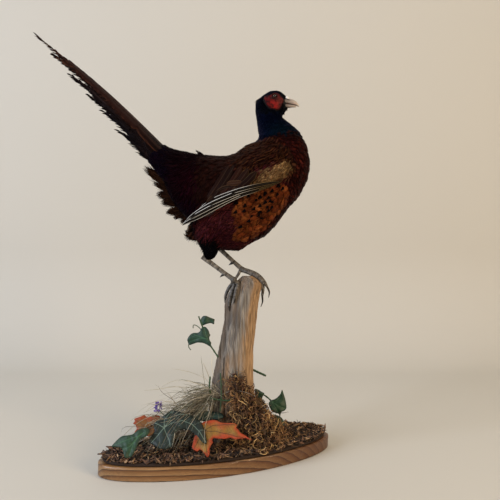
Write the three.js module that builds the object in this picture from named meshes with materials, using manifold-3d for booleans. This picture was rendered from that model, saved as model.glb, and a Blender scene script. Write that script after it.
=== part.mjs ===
// A cock pheasant, mounted standing on a driftwood post over a pine slab.
// Life size, in millimetres. +X is the way the bird faces, +Y is its left, +Z is up.
// The origin is the middle of the slab's underside.

import * as THREE from 'three';
import { LoftGeometry } from 'three/addons/geometries/LoftGeometry.js';
import { mergeVertices } from 'three/addons/utils/BufferGeometryUtils.js';
import Module from 'manifold-3d';

const wasm = await Module();
wasm.setup();

// ---------------------------------------------------------------- driving dimensions

const GAP = 0.35; // clear space kept between two solids that touch
const MIDLINE_Y = 14; // the plane that halves the bird

const SLAB_LENGTH = 456;
const SLAB_DEPTH = 170;
const SLAB_THICKNESS = 24;
const SLAB_TURN = THREE.MathUtils.degToRad(21.8);
const MULCH_TOP = 32;

const EYE_RADIUS = 4.8;
const EYE_CENTRE = [103.6, 686.6]; // x, z
const EYE_OUT = 11.4; // from the bird's mid plane
const WATTLE_THICKNESS = 1.5;
const WATTLE_REACH = [4, 30]; // from the mid plane, the depth that the wattle is cut from
const PRIMARY_THICKNESS = 3;
const WING_REACH = [8, 90]; // the same for a folded wing

const TAIL_PITCH = THREE.MathUtils.degToRad(40.9); // above the horizon, pointing back
const TAIL_ROOT = [-110, 597]; // x, z of the top of the rump where the tail leaves it
const VANE_THICKNESS = 0.6;
const VANE_LAYER = 1.6; // from one tail feather's face to the next one's
const VANE_TIP_SHARE = 0.06; // of the vane's half width that is left at its tip
const VANE_TAPER = 2.2;
const TAIL_ARCH = 7; // how far the closed tail bows up between the rump and its tip
const TIP_DROOP = 3; // how late along the tail its feathers turn out to their tips
const RIDGE_CLEARANCE = 2; // between the vanes under the middle pair, where the tail's ridge is
const ROOF_SHARE = 0.8; // how soon the tail's roof turns down, as a share of its half width

const LEAF_THICKNESS = 1.2;

// How finely each round part is divided.
const BODY_SIDES = 18;
const HEAD_SIDES = 14;
const BILL_SIDES = 8;
const THIGH_SIDES = 12;
const TARSUS_SIDES = 10;
const TOE_SIDES = 6;
const POST_SIDES = 24;
const SLAB_SIDES = 44;
const MOSS_SIDES = 18;
const GRASS_SIDES = 12;
const EYE_DIVISIONS = [10, 6];
const BALL_DIVISIONS = [8, 6];
const TAIL_STEPS = 6;
const VANE_SAMPLES = [0, 0.05, 0.2, 0.5, 1]; // closer together where the tail's ridge bends

// The body in side view. Each station is a cross section between a point on the back
// and a point on the belly: back x, back z, belly x, belly z, half width, widest at.
const BODY = [
  [-110, 597, -146, 555, 24, 0.5],
  [-89, 587, -133, 522, 32, 0.5],
  [-70, 583, -121, 497, 39, 0.48],
  [-49, 580, -106, 472, 46, 0.46],
  [-29, 577, -87, 449, 52, 0.45],
  [-2, 575, -58, 418, 58, 0.45],
  [15, 576, -29, 401, 61, 0.45],
  [30, 580, 3, 395, 63, 0.45],
  [47, 594, 36, 392, 64, 0.46],
  [61, 602, 59, 407, 64, 0.48],
  [71, 607, 85, 420, 64, 0.5],
  [74, 609, 105, 439, 63, 0.5],
  [74, 612, 126, 469, 61, 0.5],
  [74, 616, 152, 499, 58, 0.5],
  [73, 620, 168, 531, 54, 0.5],
  [72, 624, 173, 562, 48, 0.5],
  [71, 629, 167, 594, 41, 0.5],
  [70, 636, 152, 621, 33, 0.5],
  [69, 646, 133, 638, 27, 0.5],
  [67, 656, 120, 648, 23, 0.5],
  [67, 668, 118, 659, 17.5, 0.5],
  [72, 675, 112, 668, 9, 0.5],
];

// The head, from the nape to the feathers that meet the bill, in the same form.
const HEAD = [
  [67, 677, 68, 664, 5, 0.5],
  [75, 687, 74, 653, 12, 0.5],
  [84, 694, 82, 648, 15.5, 0.5],
  [95, 699.5, 94, 647, 16.8, 0.48],
  [108, 701, 107, 648, 15, 0.46],
  [117, 699, 116, 651, 11.5, 0.45],
  [124, 694.5, 123, 656, 8, 0.45],
  [129, 690, 128, 661, 6.2, 0.45],
  [132, 687.5, 132, 666, 4.8, 0.45],
];

// Upper and lower bill, from inside the face to the tip.
const BILL_UPPER = [
  [124, 687, 119, 675, 6.2, 0.6],
  [131, 685.8, 127, 675, 6, 0.6],
  [138, 684.3, 136, 673.8, 5.4, 0.6],
  [144.5, 681, 143, 672.6, 4.2, 0.6],
  [149, 676, 148, 670.8, 2.6, 0.6],
  [151.3, 671.2, 150.8, 669, 1, 0.6],
];
const BILL_LOWER = [
  [118, 675, 120, 668, 5.6, 0.4],
  [128, 674.8, 129, 668.4, 5, 0.4],
  [137, 673.8, 137.5, 668.8, 4, 0.4],
  [145, 672.2, 145.5, 669.2, 2.2, 0.4],
];

// Plane cuts between the parts of the body: two points x, z on each cut.
const CUT_HEAD = [[60, 662], [128, 646]];
const CUT_NECK = [[66, 629], [156, 619]];
const CUT_RUMP = [[-2, 580], [-62, 412]];
const CUT_UNDERTAIL = [[-150, 567], [-40, 430]];

// Outlines in side view, x and z.
const WATTLE_OUTLINE = [
  [82, 682], [85, 687], [92, 687], [98, 690], [104, 693], [110, 692], [116, 687], [121.5, 680],
  [119, 673], [117, 668], [114, 662.5], [109, 660], [102, 661.5], [95, 662.5], [88.5, 668], [85, 675],
];
const WING_OUTLINE = [
  [142, 552], [136, 568], [124, 581], [105, 588], [80, 587], [47, 572],
  [15, 552], [-16, 529], [-33, 506], [-37, 486], [-16, 477], [22, 489],
  [61, 503], [96, 517], [124, 529],
];
const PRIMARY_OUTLINE = [
  [100, 519], [80, 517], [28, 504], [-12, 483], [-47, 459], [-79, 436],
  [-66, 442], [-29, 455], [19, 477], [61, 497], [91, 510],
];

// Half widths that the folded wings' outer faces follow, one for each body station.
const WING_HALF_WIDTHS = [
  34, 40, 46, 52, 58, 63, 66, 68, 70, 71, 71, 70, 68, 65, 60, 53, 45, 36, 28, 23, 19, 15,
];

// Legs: x, y, z, half width across, half width fore and aft.
const THIGH_RIGHT = [
  [-28, -12, 436, 22, 24], [-20, -9, 416, 19, 22], [-17, -7, 398, 16, 19],
  [-20, -7, 385, 11, 12], [-27, -7, 378, 6, 6],
];
const THIGH_LEFT = [
  [-40, 40, 440, 20, 22], [-30, 37, 424, 17, 19], [-22, 35, 411, 11, 12], [-17, 34, 404, 6, 6],
];
const TARSUS_RIGHT = [
  [-33, -7, 383, 4.5, 5.5], [-24, -6.5, 376, 4.2, 5.2], [-6, -5, 362.5, 3.8, 4.8],
  [12, -4, 349, 3.8, 4.8], [24, -3, 340.5, 4.6, 5],
];
const TARSUS_LEFT = [
  [-15, 34, 409, 4.5, 5.5], [-6, 33, 401, 4.2, 5.2], [10, 31, 386, 3.8, 4.8],
  [28, 28, 369.5, 3.8, 4.8], [39, 26.5, 360, 4.6, 5],
];
const SPUR_LENGTH = 9.5;
const SPUR_RADIUS = 2.6;
const SPUR_PLACE = 0.85; // share of the way along the third length of the tarsus
const SPUR_DEPTH = 3; // from the tarsus's middle to the spur's root
const SPUR_DROOP = 0.25;
// share of the spur's length and of its radius
const SPUR_ROWS = [[0.1, 1], [0.55, 0.55], [1, 0.15]];
const FOOT_BALL_RADIUS = 6;
const TOE_ROOT_RADIUS = 4.6;

// Toes: x, y, z, radius, from the ball of the foot to the point of the claw.
const TOES_LEFT = [
  [[42, 26, 357, 5], [51, 25.5, 354.5, 4.7], [65, 25, 349.8, 4.4], [75, 24, 343.6, 4.2],
    [84, 23, 333.8, 3.7], [90, 22, 324, 2.6], [94.3, 21.5, 314, 1.6], [93, 21, 303, 0.5]],
  [[42, 26, 357, 5], [50, 30, 353.5, 4.2], [64, 36, 345.5, 4], [76, 39, 334, 3.8],
    [82, 38, 318, 3.4], [81, 35, 306, 2.4], [81.5, 33, 294, 1.5], [78, 32, 283.5, 0.5]],
  [[42, 26, 357, 5], [49, 20, 353.5, 4], [60, 16, 349.6, 3.8], [70, 13, 344.8, 3.5],
    [78, 11, 338, 3], [83, 10, 330, 2], [84.5, 10, 321, 0.5]],
  [[42, 26, 357, 5], [37.5, 24, 354, 3.2], [34.5, 22, 348, 2.8], [30, 21, 341, 2], [26, 21, 335, 0.5]],
];
const TOES_RIGHT_FOOT = [26, -5, 339];
// angle round the post (90 faces -Y), height, radius
const TOES_RIGHT = [
  [[150, 332, 4.4], [146, 322, 4], [144, 310, 3.8], [143, 298, 3.4], [142, 289, 2.4], [142, 279, 0.5]],
  [[132, 331, 4.2], [124, 322, 3.8], [120, 311, 3.4], [118, 303, 2.4], [118, 294, 0.5]],
  [[172, 332, 4.2], [180, 322, 3.8], [184, 310, 3.4], [186, 302, 2.4], [187, 293, 0.5]],
];

// Tail feathers: for each pair, how far the tip reaches past the rump, how far it
// hangs below the top edge there and at the root, and the vane's half width.
const TAIL_PAIRS = [
  [322, 0.5, 7, 12],
  [274, 11, 8, 12],
  [221, 21, 17, 11.5],
  [167, 28, 22, 11],
  [129, 33, 27, 10],
  [80, 40, 34, 9],
];
const TAIL_HALF_WIDTH = 23; // across the closed tail at the rump
const TAIL_TIP_HALF_WIDTH = 5;

// Driftwood post: height, left x, right x, near y, far y.
const POST = [
  [SLAB_THICKNESS + GAP, -34, 82, -27, 52],
  [60, -28, 76, -22, 48],
  [102, -20, 66, -19, 45],
  [145, -16, 64, -16, 43],
  [203, -3.5, 63, -13, 41],
  [261, 8, 70, -11, 39],
  [292, 9, 73, -10, 38],
  [310, 14.6, 76, -10, 38],
  [322, 20.5, 79, -9, 37],
  [329, 25, 79.5, -7, 35],
  [335, 31, 75.5, -4, 33],
  [340, 36, 70, 0, 30],
  [345, 42, 62, 6, 24],
];
// Grooves and ridges down the post: angle round it, half angle, depth as a share of radius.
const POST_GROOVES = [[140, 9, 0.16], [112, 14, 0.05], [61, 8, -0.06], [230, 16, 0.09], [310, 18, 0.06]];

// Moss heap: height, middle x, middle y, half length, half depth.
const MOSS = [
  [MULCH_TOP + GAP, 69, 10, 62, 58],
  [52, 65, 7, 54, 52],
  [75, 60, 2, 48, 44],
  [100, 52, -3, 40, 36],
  [125, 41, -9, 28, 27],
  [146, 33, -14, 18, 15],
  [164, 28, -16, 9, 9],
];

// Dry grass: x, y, z, half width across, half height.
const GRASS = [
  [-4, -14, 136, 8, 14], [-24, -18, 112, 24, 34], [-62, -24, 88, 34, 36],
  [-94, -32, 74, 30, 26], [-118, -40, 62, 16, 14], [-132, -44, 56, 4, 4],
];

// Leaves: kind, y of the stalk's end, lean in degrees, then the stalk's end and the outline in
// front view, x and z.
const LEAVES = {
  ivy_leaf_large: ['ivy', -68, 52, [-95, 81], [
    [-91, 103], [-82, 105], [-73, 104], [-51, 99], [-32, 90], [-26, 83], [-22, 75], [-18, 58],
    [-23, 58], [-34, 69], [-49, 76], [-66, 78], [-72, 75], [-76, 69], [-75, 58], [-78, 54], [-85, 52],
    [-99, 51], [-116, 58], [-119, 62], [-111, 78], [-113, 86],
  ]],
  ivy_leaf_low: ['ivy', -84, 56, [-127, 78], [
    [-140, 81], [-123, 84], [-118, 81], [-118, 77], [-121, 73], [-134, 66], [-141, 49], [-144, 44],
    [-150, 42], [-155, 43], [-161, 53], [-166, 57], [-182, 57], [-173, 67], [-166, 71], [-148, 74],
  ]],
  ivy_leaf_twig_top: ['ivy', 4, 80, [-34, 253], [
    [-38, 260], [-36, 265], [-33, 269], [-27, 270], [-10, 264], [-11, 253], [-17, 256], [-29, 253],
    [-32, 251], [-36, 253],
  ]],
  ivy_leaf_twig_side: ['ivy', -12, 74, [-22, 228], [
    [-29, 252], [-20, 243], [-17, 236], [-20, 231], [-15, 222], [-17, 215], [-31, 222], [-40, 222],
    [-57, 217], [-60, 228], [-54, 238], [-48, 240], [-41, 239], [-34, 249],
  ]],
  ivy_leaf_right_top: ['ivy', 66, 70, [81, 93], [
    [66, 113], [73, 112], [81, 107], [87, 105], [81, 94], [91, 83], [89, 79], [73, 93], [67, 99],
  ]],
  ivy_leaf_right_side: ['ivy', 44, 72, [100, 95], [
    [121, 118], [127, 100], [129, 82], [118, 75], [116, 66], [114, 73], [106, 75], [100, 79], [96, 84],
    [93, 93], [114, 104], [119, 111],
  ]],
  ivy_leaf_right_low: ['ivy', 34, 66, [110, 68], [
    [100, 70], [118, 68], [125, 55], [121, 49], [113, 49], [104, 53], [98, 61],
  ]],
  maple_leaf_orange: ['maple', -40, 60, [-125, 66], [
    [-156, 83], [-139, 89], [-128, 86], [-118, 90], [-107, 86], [-102, 87], [-104, 79], [-110, 75],
    [-112, 67], [-117, 61], [-124, 56], [-142, 58], [-153, 56], [-155, 59], [-150, 69], [-157, 76],
  ]],
  maple_leaf_yellow: ['maple', -62, 55, [-27, 73], [
    [-33, 83], [-26, 86], [-10, 89], [3, 85], [30, 84], [34, 81], [32, 77], [39, 70], [61, 60],
    [50, 61], [32, 60], [22, 62], [13, 61], [-8, 62], [-8, 56], [-14, 47], [-13, 42], [-17, 35],
    [-27, 45], [-35, 43], [-42, 46], [-45, 50], [-42, 63], [-39, 67],
  ]],
};

// Twigs and stems: radius, then the points x, y, z that each follows.
const STEMS = {
  ivy_twig: [1.6, [[-6, -2, 196], [-14, -3, 208], [-24, -5, 222], [-36, -4, 246], [-42, -3, 268]]],
  ivy_stem_right: [1.6, [[78, 58, 118], [94, 54, 106], [106, 50, 90], [114, 44, 80]]],
  cut_stem: [2, [[58, 30, 164], [70, 30, 158], [88, 29, 150]]],
};

const FLOWER_CENTRE = [-112, -28, 106];
const FLOWER_RADIUS = 8;

// ---------------------------------------------------------------- solids

function toSolid(geometry) {
  const bare = new THREE.BufferGeometry();
  bare.setAttribute('position', geometry.attributes.position);
  if (geometry.index) bare.setIndex(geometry.index);
  const merged = mergeVertices(bare, 1e-4);
  const mesh = new wasm.Mesh({
    numProp: 3,
    vertProperties: Float32Array.from(merged.attributes.position.array),
    triVerts: Uint32Array.from(merged.index.array),
  });
  return new wasm.Manifold(mesh);
}

function toGeometry(solid) {
  const mesh = solid.getMesh();
  const geometry = new THREE.BufferGeometry();
  geometry.setAttribute('position', new THREE.BufferAttribute(mesh.vertProperties, 3));
  geometry.setIndex(new THREE.BufferAttribute(mesh.triVerts, 1));
  return geometry;
}

function ringCentre(ring) {
  const sum = ring.reduce((total, point) => total.add(point), new THREE.Vector3());
  return sum.divideScalar(ring.length);
}

// Closed skin through a row of rings, each turned to run counterclockwise seen from the end.
function skinOver(rings) {
  const middle = Math.floor(rings.length / 2);
  const centre = ringCentre(rings[middle]);
  const onward = ringCentre(rings[Math.min(middle + 1, rings.length - 1)]);
  const heading = onward.sub(ringCentre(rings[middle - 1]));
  const normal = new THREE.Vector3();
  rings[middle].forEach((point, i, ring) => {
    const next = ring[(i + 1) % ring.length];
    normal.add(point.clone().sub(centre).cross(next.clone().sub(centre)));
  });
  const turned = normal.dot(heading) > 0 ? rings : rings.map((ring) => ring.slice().reverse());
  return toSolid(new LoftGeometry(turned, { capStart: true, capEnd: true }));
}

function union(solids) {
  return solids.reduce((whole, solid) => whole.add(solid));
}

// The biggest of the bodies that a cut may leave.
function mainBody(solid) {
  const bodies = solid.decompose();
  return bodies.reduce((best, body) => (body.volume() > best.volume() ? body : best));
}

// Egg-shaped ring between a point on the back and a point on the belly.
function bodyRing([backX, backZ, bellyX, bellyZ, halfWidth, widest], sides, grow) {
  const back = new THREE.Vector2(backX, backZ);
  const belly = new THREE.Vector2(bellyX, bellyZ);
  const span = belly.clone().sub(back);
  const outward = span.clone().normalize().multiplyScalar(grow);
  back.sub(outward);
  span.add(outward).add(outward);
  const ring = [];
  for (let i = 0; i < sides; i++) {
    const angle = (i / sides) * 2 * Math.PI;
    const down = Math.cos(angle);
    const share = down > 0 ? widest * (1 - down) : widest - (1 - widest) * down;
    const y = MIDLINE_Y + (halfWidth + grow) * Math.sin(angle);
    ring.push(new THREE.Vector3(back.x + span.x * share, y, back.y + span.y * share));
  }
  return ring;
}

function bodySkin(stations, sides, grow = 0) {
  return skinOver(stations.map((station) => bodyRing(station, sides, grow)));
}

// Round or oval limb along a row of points, the first half width measured across the body.
function limb(rows, sides, grow = 0) {
  const points = rows.map((row) => new THREE.Vector3(row[0], row[1], row[2]));
  const rings = rows.map((row, i) => {
    const before = points[Math.max(i - 1, 0)];
    const after = points[Math.min(i + 1, points.length - 1)];
    const along = after.clone().sub(before).normalize();
    const across = new THREE.Vector3(0, 1, 0).addScaledVector(along, -along.y).normalize();
    const lift = new THREE.Vector3().crossVectors(along, across);
    const halfAcross = row[3] + grow;
    const halfLift = (row.length > 4 ? row[4] : row[3]) + grow;
    const ring = [];
    for (let k = 0; k < sides; k++) {
      const angle = (k / sides) * 2 * Math.PI;
      const point = points[i].clone();
      point.addScaledVector(across, halfAcross * Math.cos(angle));
      point.addScaledVector(lift, halfLift * Math.sin(angle));
      ring.push(point);
    }
    return ring;
  });
  return skinOver(rings);
}

// Plate with a side-view outline, on one side of the bird, between two distances from its middle.
function sidePlate(outline, nearest, farthest, side) {
  const shape = new THREE.Shape(outline.map(([x, z]) => new THREE.Vector2(x, z)));
  const depth = farthest - nearest;
  const geometry = new THREE.ExtrudeGeometry(shape, { depth, bevelEnabled: false });
  geometry.rotateX(Math.PI / 2);
  geometry.translate(0, MIDLINE_Y + (side > 0 ? farthest : -nearest), 0);
  return toSolid(geometry);
}

// Keep what lies on one side of a cut drawn in side view.
function trimmed(solid, [[x1, z1], [x2, z2]], side, clearance = GAP / 2) {
  const normal = new THREE.Vector3(z1 - z2, 0, x2 - x1).normalize().multiplyScalar(side);
  const offset = normal.x * x1 + normal.z * z1 + clearance;
  return solid.trimByPlane(normal.toArray(), offset);
}

// ---------------------------------------------------------------- the bird's body

const body = (grow = 0) => bodySkin(BODY, BODY_SIDES, grow);
const headSkin = (grow = 0) => bodySkin(HEAD, HEAD_SIDES, grow);
const wingForm = (grow = 0) => {
  const stations = BODY.map((row, i) => [...row.slice(0, 4), WING_HALF_WIDTHS[i], row[5]]);
  return bodySkin(stations, BODY_SIDES, grow);
};

const torso = body();
const crown = headSkin();

function eyeBall(side, grow = 0) {
  const ball = new THREE.SphereGeometry(EYE_RADIUS + grow, ...EYE_DIVISIONS);
  ball.translate(EYE_CENTRE[0], MIDLINE_Y + side * EYE_OUT, EYE_CENTRE[1]);
  return toSolid(ball);
}

function wattle(side) {
  const shell = sidePlate(WATTLE_OUTLINE, ...WATTLE_REACH, side)
    .intersect(headSkin(WATTLE_THICKNESS + GAP))
    .subtract(headSkin(GAP))
    .subtract(body(GAP));
  return mainBody(shell.subtract(eyeBall(side, GAP)));
}

const billUpper = bodySkin(BILL_UPPER, BILL_SIDES);
const billLower = bodySkin(BILL_LOWER, BILL_SIDES).subtract(bodySkin(BILL_UPPER, BILL_SIDES, GAP));
const billCutter = bodySkin(BILL_UPPER, BILL_SIDES, GAP).add(bodySkin(BILL_LOWER, BILL_SIDES, GAP));

const neckAndHead = torso.add(crown);
const head = mainBody(
  trimmed(neckAndHead, CUT_HEAD, 1)
    .subtract(eyeBall(1, GAP))
    .subtract(eyeBall(-1, GAP))
    .subtract(billCutter),
);
const neck = trimmed(trimmed(neckAndHead, CUT_HEAD, -1), CUT_NECK, 1);
const hind = trimmed(trimmed(torso, CUT_NECK, -1), CUT_RUMP, -1);
const trunk = trimmed(trimmed(torso, CUT_NECK, -1), CUT_RUMP, 1);
const rump = trimmed(hind, CUT_UNDERTAIL, 1);
const undertail = trimmed(hind, CUT_UNDERTAIL, -1);

// ---------------------------------------------------------------- wings

function wing(side) {
  const plate = sidePlate(WING_OUTLINE, ...WING_REACH, side);
  return mainBody(plate.intersect(wingForm(-GAP)).subtract(body(GAP)));
}

function primaries(side) {
  const plate = sidePlate(PRIMARY_OUTLINE, ...WING_REACH, side);
  return mainBody(plate.intersect(wingForm(PRIMARY_THICKNESS)).subtract(wingForm(0)));
}

// ---------------------------------------------------------------- post

function postStation(height) {
  const next = POST.findIndex((row) => row[0] >= height);
  if (next <= 0) return POST[next === 0 ? 0 : POST.length - 1];
  const low = POST[next - 1];
  const high = POST[next];
  const share = (height - low[0]) / (high[0] - low[0]);
  return low.map((value, i) => value + (high[i] - value) * share);
}

// Point on the post's face: degrees round it, height, and how far out from the wood.
function postPoint(degrees, height, out = 0) {
  const [, left, right, near, far] = postStation(height);
  let scale = 1;
  for (const [at, spread, depth] of POST_GROOVES) {
    const away = ((((degrees - at) % 360) + 540) % 360) - 180;
    scale -= depth * Math.exp(-((away / spread) ** 2));
  }
  const angle = THREE.MathUtils.degToRad(degrees);
  const x = (left + right) / 2 + ((right - left) / 2 * scale + out) * Math.cos(angle);
  const y = (near + far) / 2 - ((far - near) / 2 * scale + out) * Math.sin(angle);
  return new THREE.Vector3(x, y, height);
}

function postSkin(grow = 0) {
  const heights = POST.map((row) => row[0]);
  const rings = heights.map((height, level) => {
    const ring = [];
    for (let i = 0; i < POST_SIDES; i++) {
      const point = postPoint((i / POST_SIDES) * 360, height, grow);
      if (level === heights.length - 1) point.z += grow;
      ring.push(point);
    }
    return ring;
  });
  return skinOver(rings);
}

const post = postSkin();

// ---------------------------------------------------------------- legs and feet

const thigh = (rows, grow = 0) => limb(rows, THIGH_SIDES, grow);
const tarsus = (rows, grow = 0) => limb(rows, TARSUS_SIDES, grow);
const thighRight = mainBody(thigh(THIGH_RIGHT).subtract(body(GAP)).subtract(primaries(-1)));
const thighLeft = mainBody(thigh(THIGH_LEFT).subtract(body(GAP)));
const tarsusRight = mainBody(tarsus(TARSUS_RIGHT).subtract(thigh(THIGH_RIGHT, GAP)));
const tarsusLeft = mainBody(
  tarsus(TARSUS_LEFT).subtract(thigh(THIGH_LEFT, GAP)).subtract(body(GAP)),
);

const ballLeft = TOES_LEFT[0][0];
const ballRight = TOES_RIGHT_FOOT;

function ball([x, y, z], radius) {
  const geometry = new THREE.SphereGeometry(radius, ...BALL_DIVISIONS);
  geometry.translate(x, y, z);
  return toSolid(geometry);
}

const footLeftWhole = union([
  ball(ballLeft, FOOT_BALL_RADIUS),
  ...TOES_LEFT.map((toe) => limb(toe, TOE_SIDES)),
]);
const rightToes = TOES_RIGHT.map((toe) => {
  const rows = toe.map(([degrees, height, radius]) => [
    ...postPoint(degrees, height, radius + GAP).toArray(),
    radius,
  ]);
  return limb([[...ballRight, TOE_ROOT_RADIUS], ...rows], TOE_SIDES);
});
const footRightWhole = union([ball(ballRight, FOOT_BALL_RADIUS), ...rightToes]);
const footLeft = mainBody(
  footLeftWhole.subtract(postSkin(GAP)).subtract(tarsus(TARSUS_LEFT, GAP)),
);
const footRight = mainBody(
  footRightWhole
    .subtract(postSkin(GAP))
    .subtract(tarsus(TARSUS_RIGHT, GAP))
    .subtract(footLeftWhole),
);

// Spur on the back of the tarsus, two thirds of the way down, pointing back and down.
function spur(shank) {
  const above = new THREE.Vector3(...shank[2].slice(0, 3));
  const below = new THREE.Vector3(...shank[3].slice(0, 3));
  const root = above.clone().lerp(below, SPUR_PLACE);
  const along = below.clone().sub(above).normalize();
  const back = new THREE.Vector3(along.z, 0, -along.x).normalize();
  const heading = back.clone().addScaledVector(along, -SPUR_DROOP).normalize();
  const rows = SPUR_ROWS.map(([share, thickness]) => {
    const point = root.clone().addScaledVector(heading, SPUR_DEPTH + SPUR_LENGTH * share);
    return [...point.toArray(), SPUR_RADIUS * thickness];
  });
  return limb(rows, TOE_SIDES).subtract(tarsus(shank, GAP));
}

// ---------------------------------------------------------------- tail

const tailAlong = new THREE.Vector3(-Math.cos(TAIL_PITCH), 0, Math.sin(TAIL_PITCH));
const tailUp = new THREE.Vector3(Math.sin(TAIL_PITCH), 0, Math.cos(TAIL_PITCH));

// Point of a tail feather: reach past the rump, hang below the top edge, layer and side.
function tailPoint(reach, hang, layer, side) {
  const share = THREE.MathUtils.clamp(reach / TAIL_PAIRS[0][0], 0, 1);
  const halfWidth = THREE.MathUtils.lerp(TAIL_HALF_WIDTH, TAIL_TIP_HALF_WIDTH, share) - layer;
  const roof = halfWidth * ROOF_SHARE;
  const bend = THREE.MathUtils.clamp((hang - layer) / roof, -1, 1);
  const y = bend < 1 ? halfWidth * Math.sqrt(Math.max(1 - (1 - bend) ** 2, 0)) : halfWidth;
  const point = new THREE.Vector3(TAIL_ROOT[0], MIDLINE_Y + side * (y + VANE_LAYER / 2), TAIL_ROOT[1]);
  const arch = TAIL_ARCH * Math.sin(Math.PI * share);
  return point.addScaledVector(tailAlong, reach).addScaledVector(tailUp, arch - hang);
}

function tailFeather(pair, side) {
  const [reach, tipHang, rootHang, halfWidth] = TAIL_PAIRS[pair];
  const outer = pair * VANE_LAYER;
  const rings = [];
  for (let i = 0; i <= TAIL_STEPS; i++) {
    const share = i / TAIL_STEPS;
    const middle = THREE.MathUtils.lerp(rootHang, tipHang, share ** TIP_DROOP);
    const taper = halfWidth * Math.max(1 - share ** VANE_TAPER, VANE_TIP_SHARE);
    const ridge = pair === 0 ? 0 : RIDGE_CLEARANCE; // only the middle pair meets at the ridge
    const top = Math.max(middle - taper, outer + ridge);
    const bottom = middle + taper;
    const ring = [];
    for (const layer of [outer, outer + VANE_THICKNESS]) {
      const row = VANE_SAMPLES.map((across) => {
        const hang = Math.max(THREE.MathUtils.lerp(top, bottom, across), layer);
        return tailPoint(GAP + reach * share, hang, layer, side);
      });
      ring.push(...(layer === outer ? row : row.reverse()));
    }
    rings.push(ring);
  }
  return skinOver(rings);
}

// ---------------------------------------------------------------- groundwork

// The slab's oval outline, a little uneven and flatter at the back right.
function slabOutline(scale = 1) {
  const points = [];
  for (let i = 0; i < SLAB_SIDES; i++) {
    const angle = (i / SLAB_SIDES) * 2 * Math.PI;
    const frontLeft = Math.max(Math.cos(angle - 4), 0) ** 4;
    const backRight = Math.max(Math.sin(angle + 0.6), 0) ** 3;
    const uneven = 1 + 0.008 * Math.sin(3 * angle + 1) - 0.03 * backRight - 0.09 * frontLeft;
    const x = (SLAB_LENGTH / 2) * Math.cos(angle) * uneven * scale;
    const y = (SLAB_DEPTH / 2) * Math.sin(angle) * uneven * scale;
    points.push(new THREE.Vector2(x, y).rotateAround(new THREE.Vector2(), SLAB_TURN));
  }
  return points;
}

function slabRing(height, scale) {
  return slabOutline(scale).map((point) => new THREE.Vector3(point.x, point.y, height));
}

const slab = skinOver([
  slabRing(0, 0.994),
  slabRing(1.5, 1),
  slabRing(SLAB_THICKNESS - 2, 1),
  slabRing(SLAB_THICKNESS, 0.99),
]);
const postCutter = postSkin(GAP);
const mulch = mainBody(skinOver([
  slabRing(SLAB_THICKNESS + GAP, 0.955),
  slabRing(MULCH_TOP - 3, 0.965),
  slabRing(MULCH_TOP, 0.92),
]).subtract(postCutter));

function mossHeap(grow = 0) {
  return skinOver(MOSS.map(([height, x, y, halfLength, halfDepth], level) => {
    const ring = [];
    for (let i = 0; i < MOSS_SIDES; i++) {
      const angle = (i / MOSS_SIDES) * 2 * Math.PI;
      const uneven = 1 + 0.05 * Math.sin(4 * angle + level) + 0.03 * Math.sin(9 * angle + 2 * level);
      ring.push(new THREE.Vector3(
        x + (halfLength * uneven + grow) * Math.cos(angle),
        y + (halfDepth * uneven + grow) * Math.sin(angle),
        height + (level === MOSS.length - 1 ? grow : 0),
      ));
    }
    return ring;
  }));
}

// ---------------------------------------------------------------- leaves and stems

// Thin plate cut to a leaf's outline in front view, leaning back from the stalk's end.
function leafPlate([, y, lean, [, endZ], outline], grow = 0) {
  const shape = new THREE.Shape(outline.map(([x, z]) => new THREE.Vector2(x, z)));
  const tilt = THREE.MathUtils.degToRad(lean);
  const depth = LEAF_THICKNESS + (2 * grow) / Math.sin(tilt);
  const geometry = new THREE.ExtrudeGeometry(shape, { depth, bevelEnabled: false });
  geometry.rotateX(Math.PI / 2);
  geometry.computeBoundingBox();
  const middle = geometry.boundingBox.getCenter(new THREE.Vector3());
  const size = geometry.boundingBox.getSize(new THREE.Vector3());
  geometry.translate(-middle.x, -middle.y, -middle.z);
  geometry.scale(1 + (2 * grow) / size.x, 1, 1 + (2 * grow) / size.z);
  geometry.translate(middle.x, y, middle.z);
  const backward = 1 / Math.tan(tilt);
  geometry.applyMatrix4(new THREE.Matrix4().makeShear(0, 0, 0, 0, 0, backward));
  geometry.translate(0, -backward * endZ, 0);
  return toSolid(geometry);
}

function stem([radius, points], grow = 0) {
  const path = new THREE.CatmullRomCurve3(points.map((point) => new THREE.Vector3(...point)));
  const section = new THREE.Shape();
  section.absarc(0, 0, radius + grow, 0, 2 * Math.PI);
  const options = { extrudePath: path, steps: 2 * points.length, curveSegments: 5, bevelEnabled: false };
  return toSolid(new THREE.ExtrudeGeometry(section, options));
}

function flower() {
  const head = new THREE.IcosahedronGeometry(FLOWER_RADIUS, 1);
  head.translate(...FLOWER_CENTRE);
  return toSolid(head);
}

const leafCutters = union(Object.values(LEAVES).map((row) => leafPlate(row, GAP)));
const stems = Object.fromEntries(
  Object.entries(STEMS).map(([name, row]) => [name, mainBody(stem(row).subtract(leafCutters))]),
);
const leaves = {};
const before = [];
for (const [name, row] of Object.entries(LEAVES)) {
  const clear = before.reduce((plate, other) => plate.subtract(leafPlate(other, GAP)), leafPlate(row));
  leaves[name] = mainBody(clear);
  before.push(row);
}
const stemCutters = union(Object.values(STEMS).map((row) => stem(row, GAP)));
const litterCutter = postCutter.add(leafCutters).add(stemCutters);
const grass = mainBody(limb(GRASS, GRASS_SIDES).subtract(litterCutter));
const moss = mainBody(mossHeap().subtract(limb(GRASS, GRASS_SIDES, GAP)).subtract(litterCutter));

// ---------------------------------------------------------------- the assembly

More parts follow.
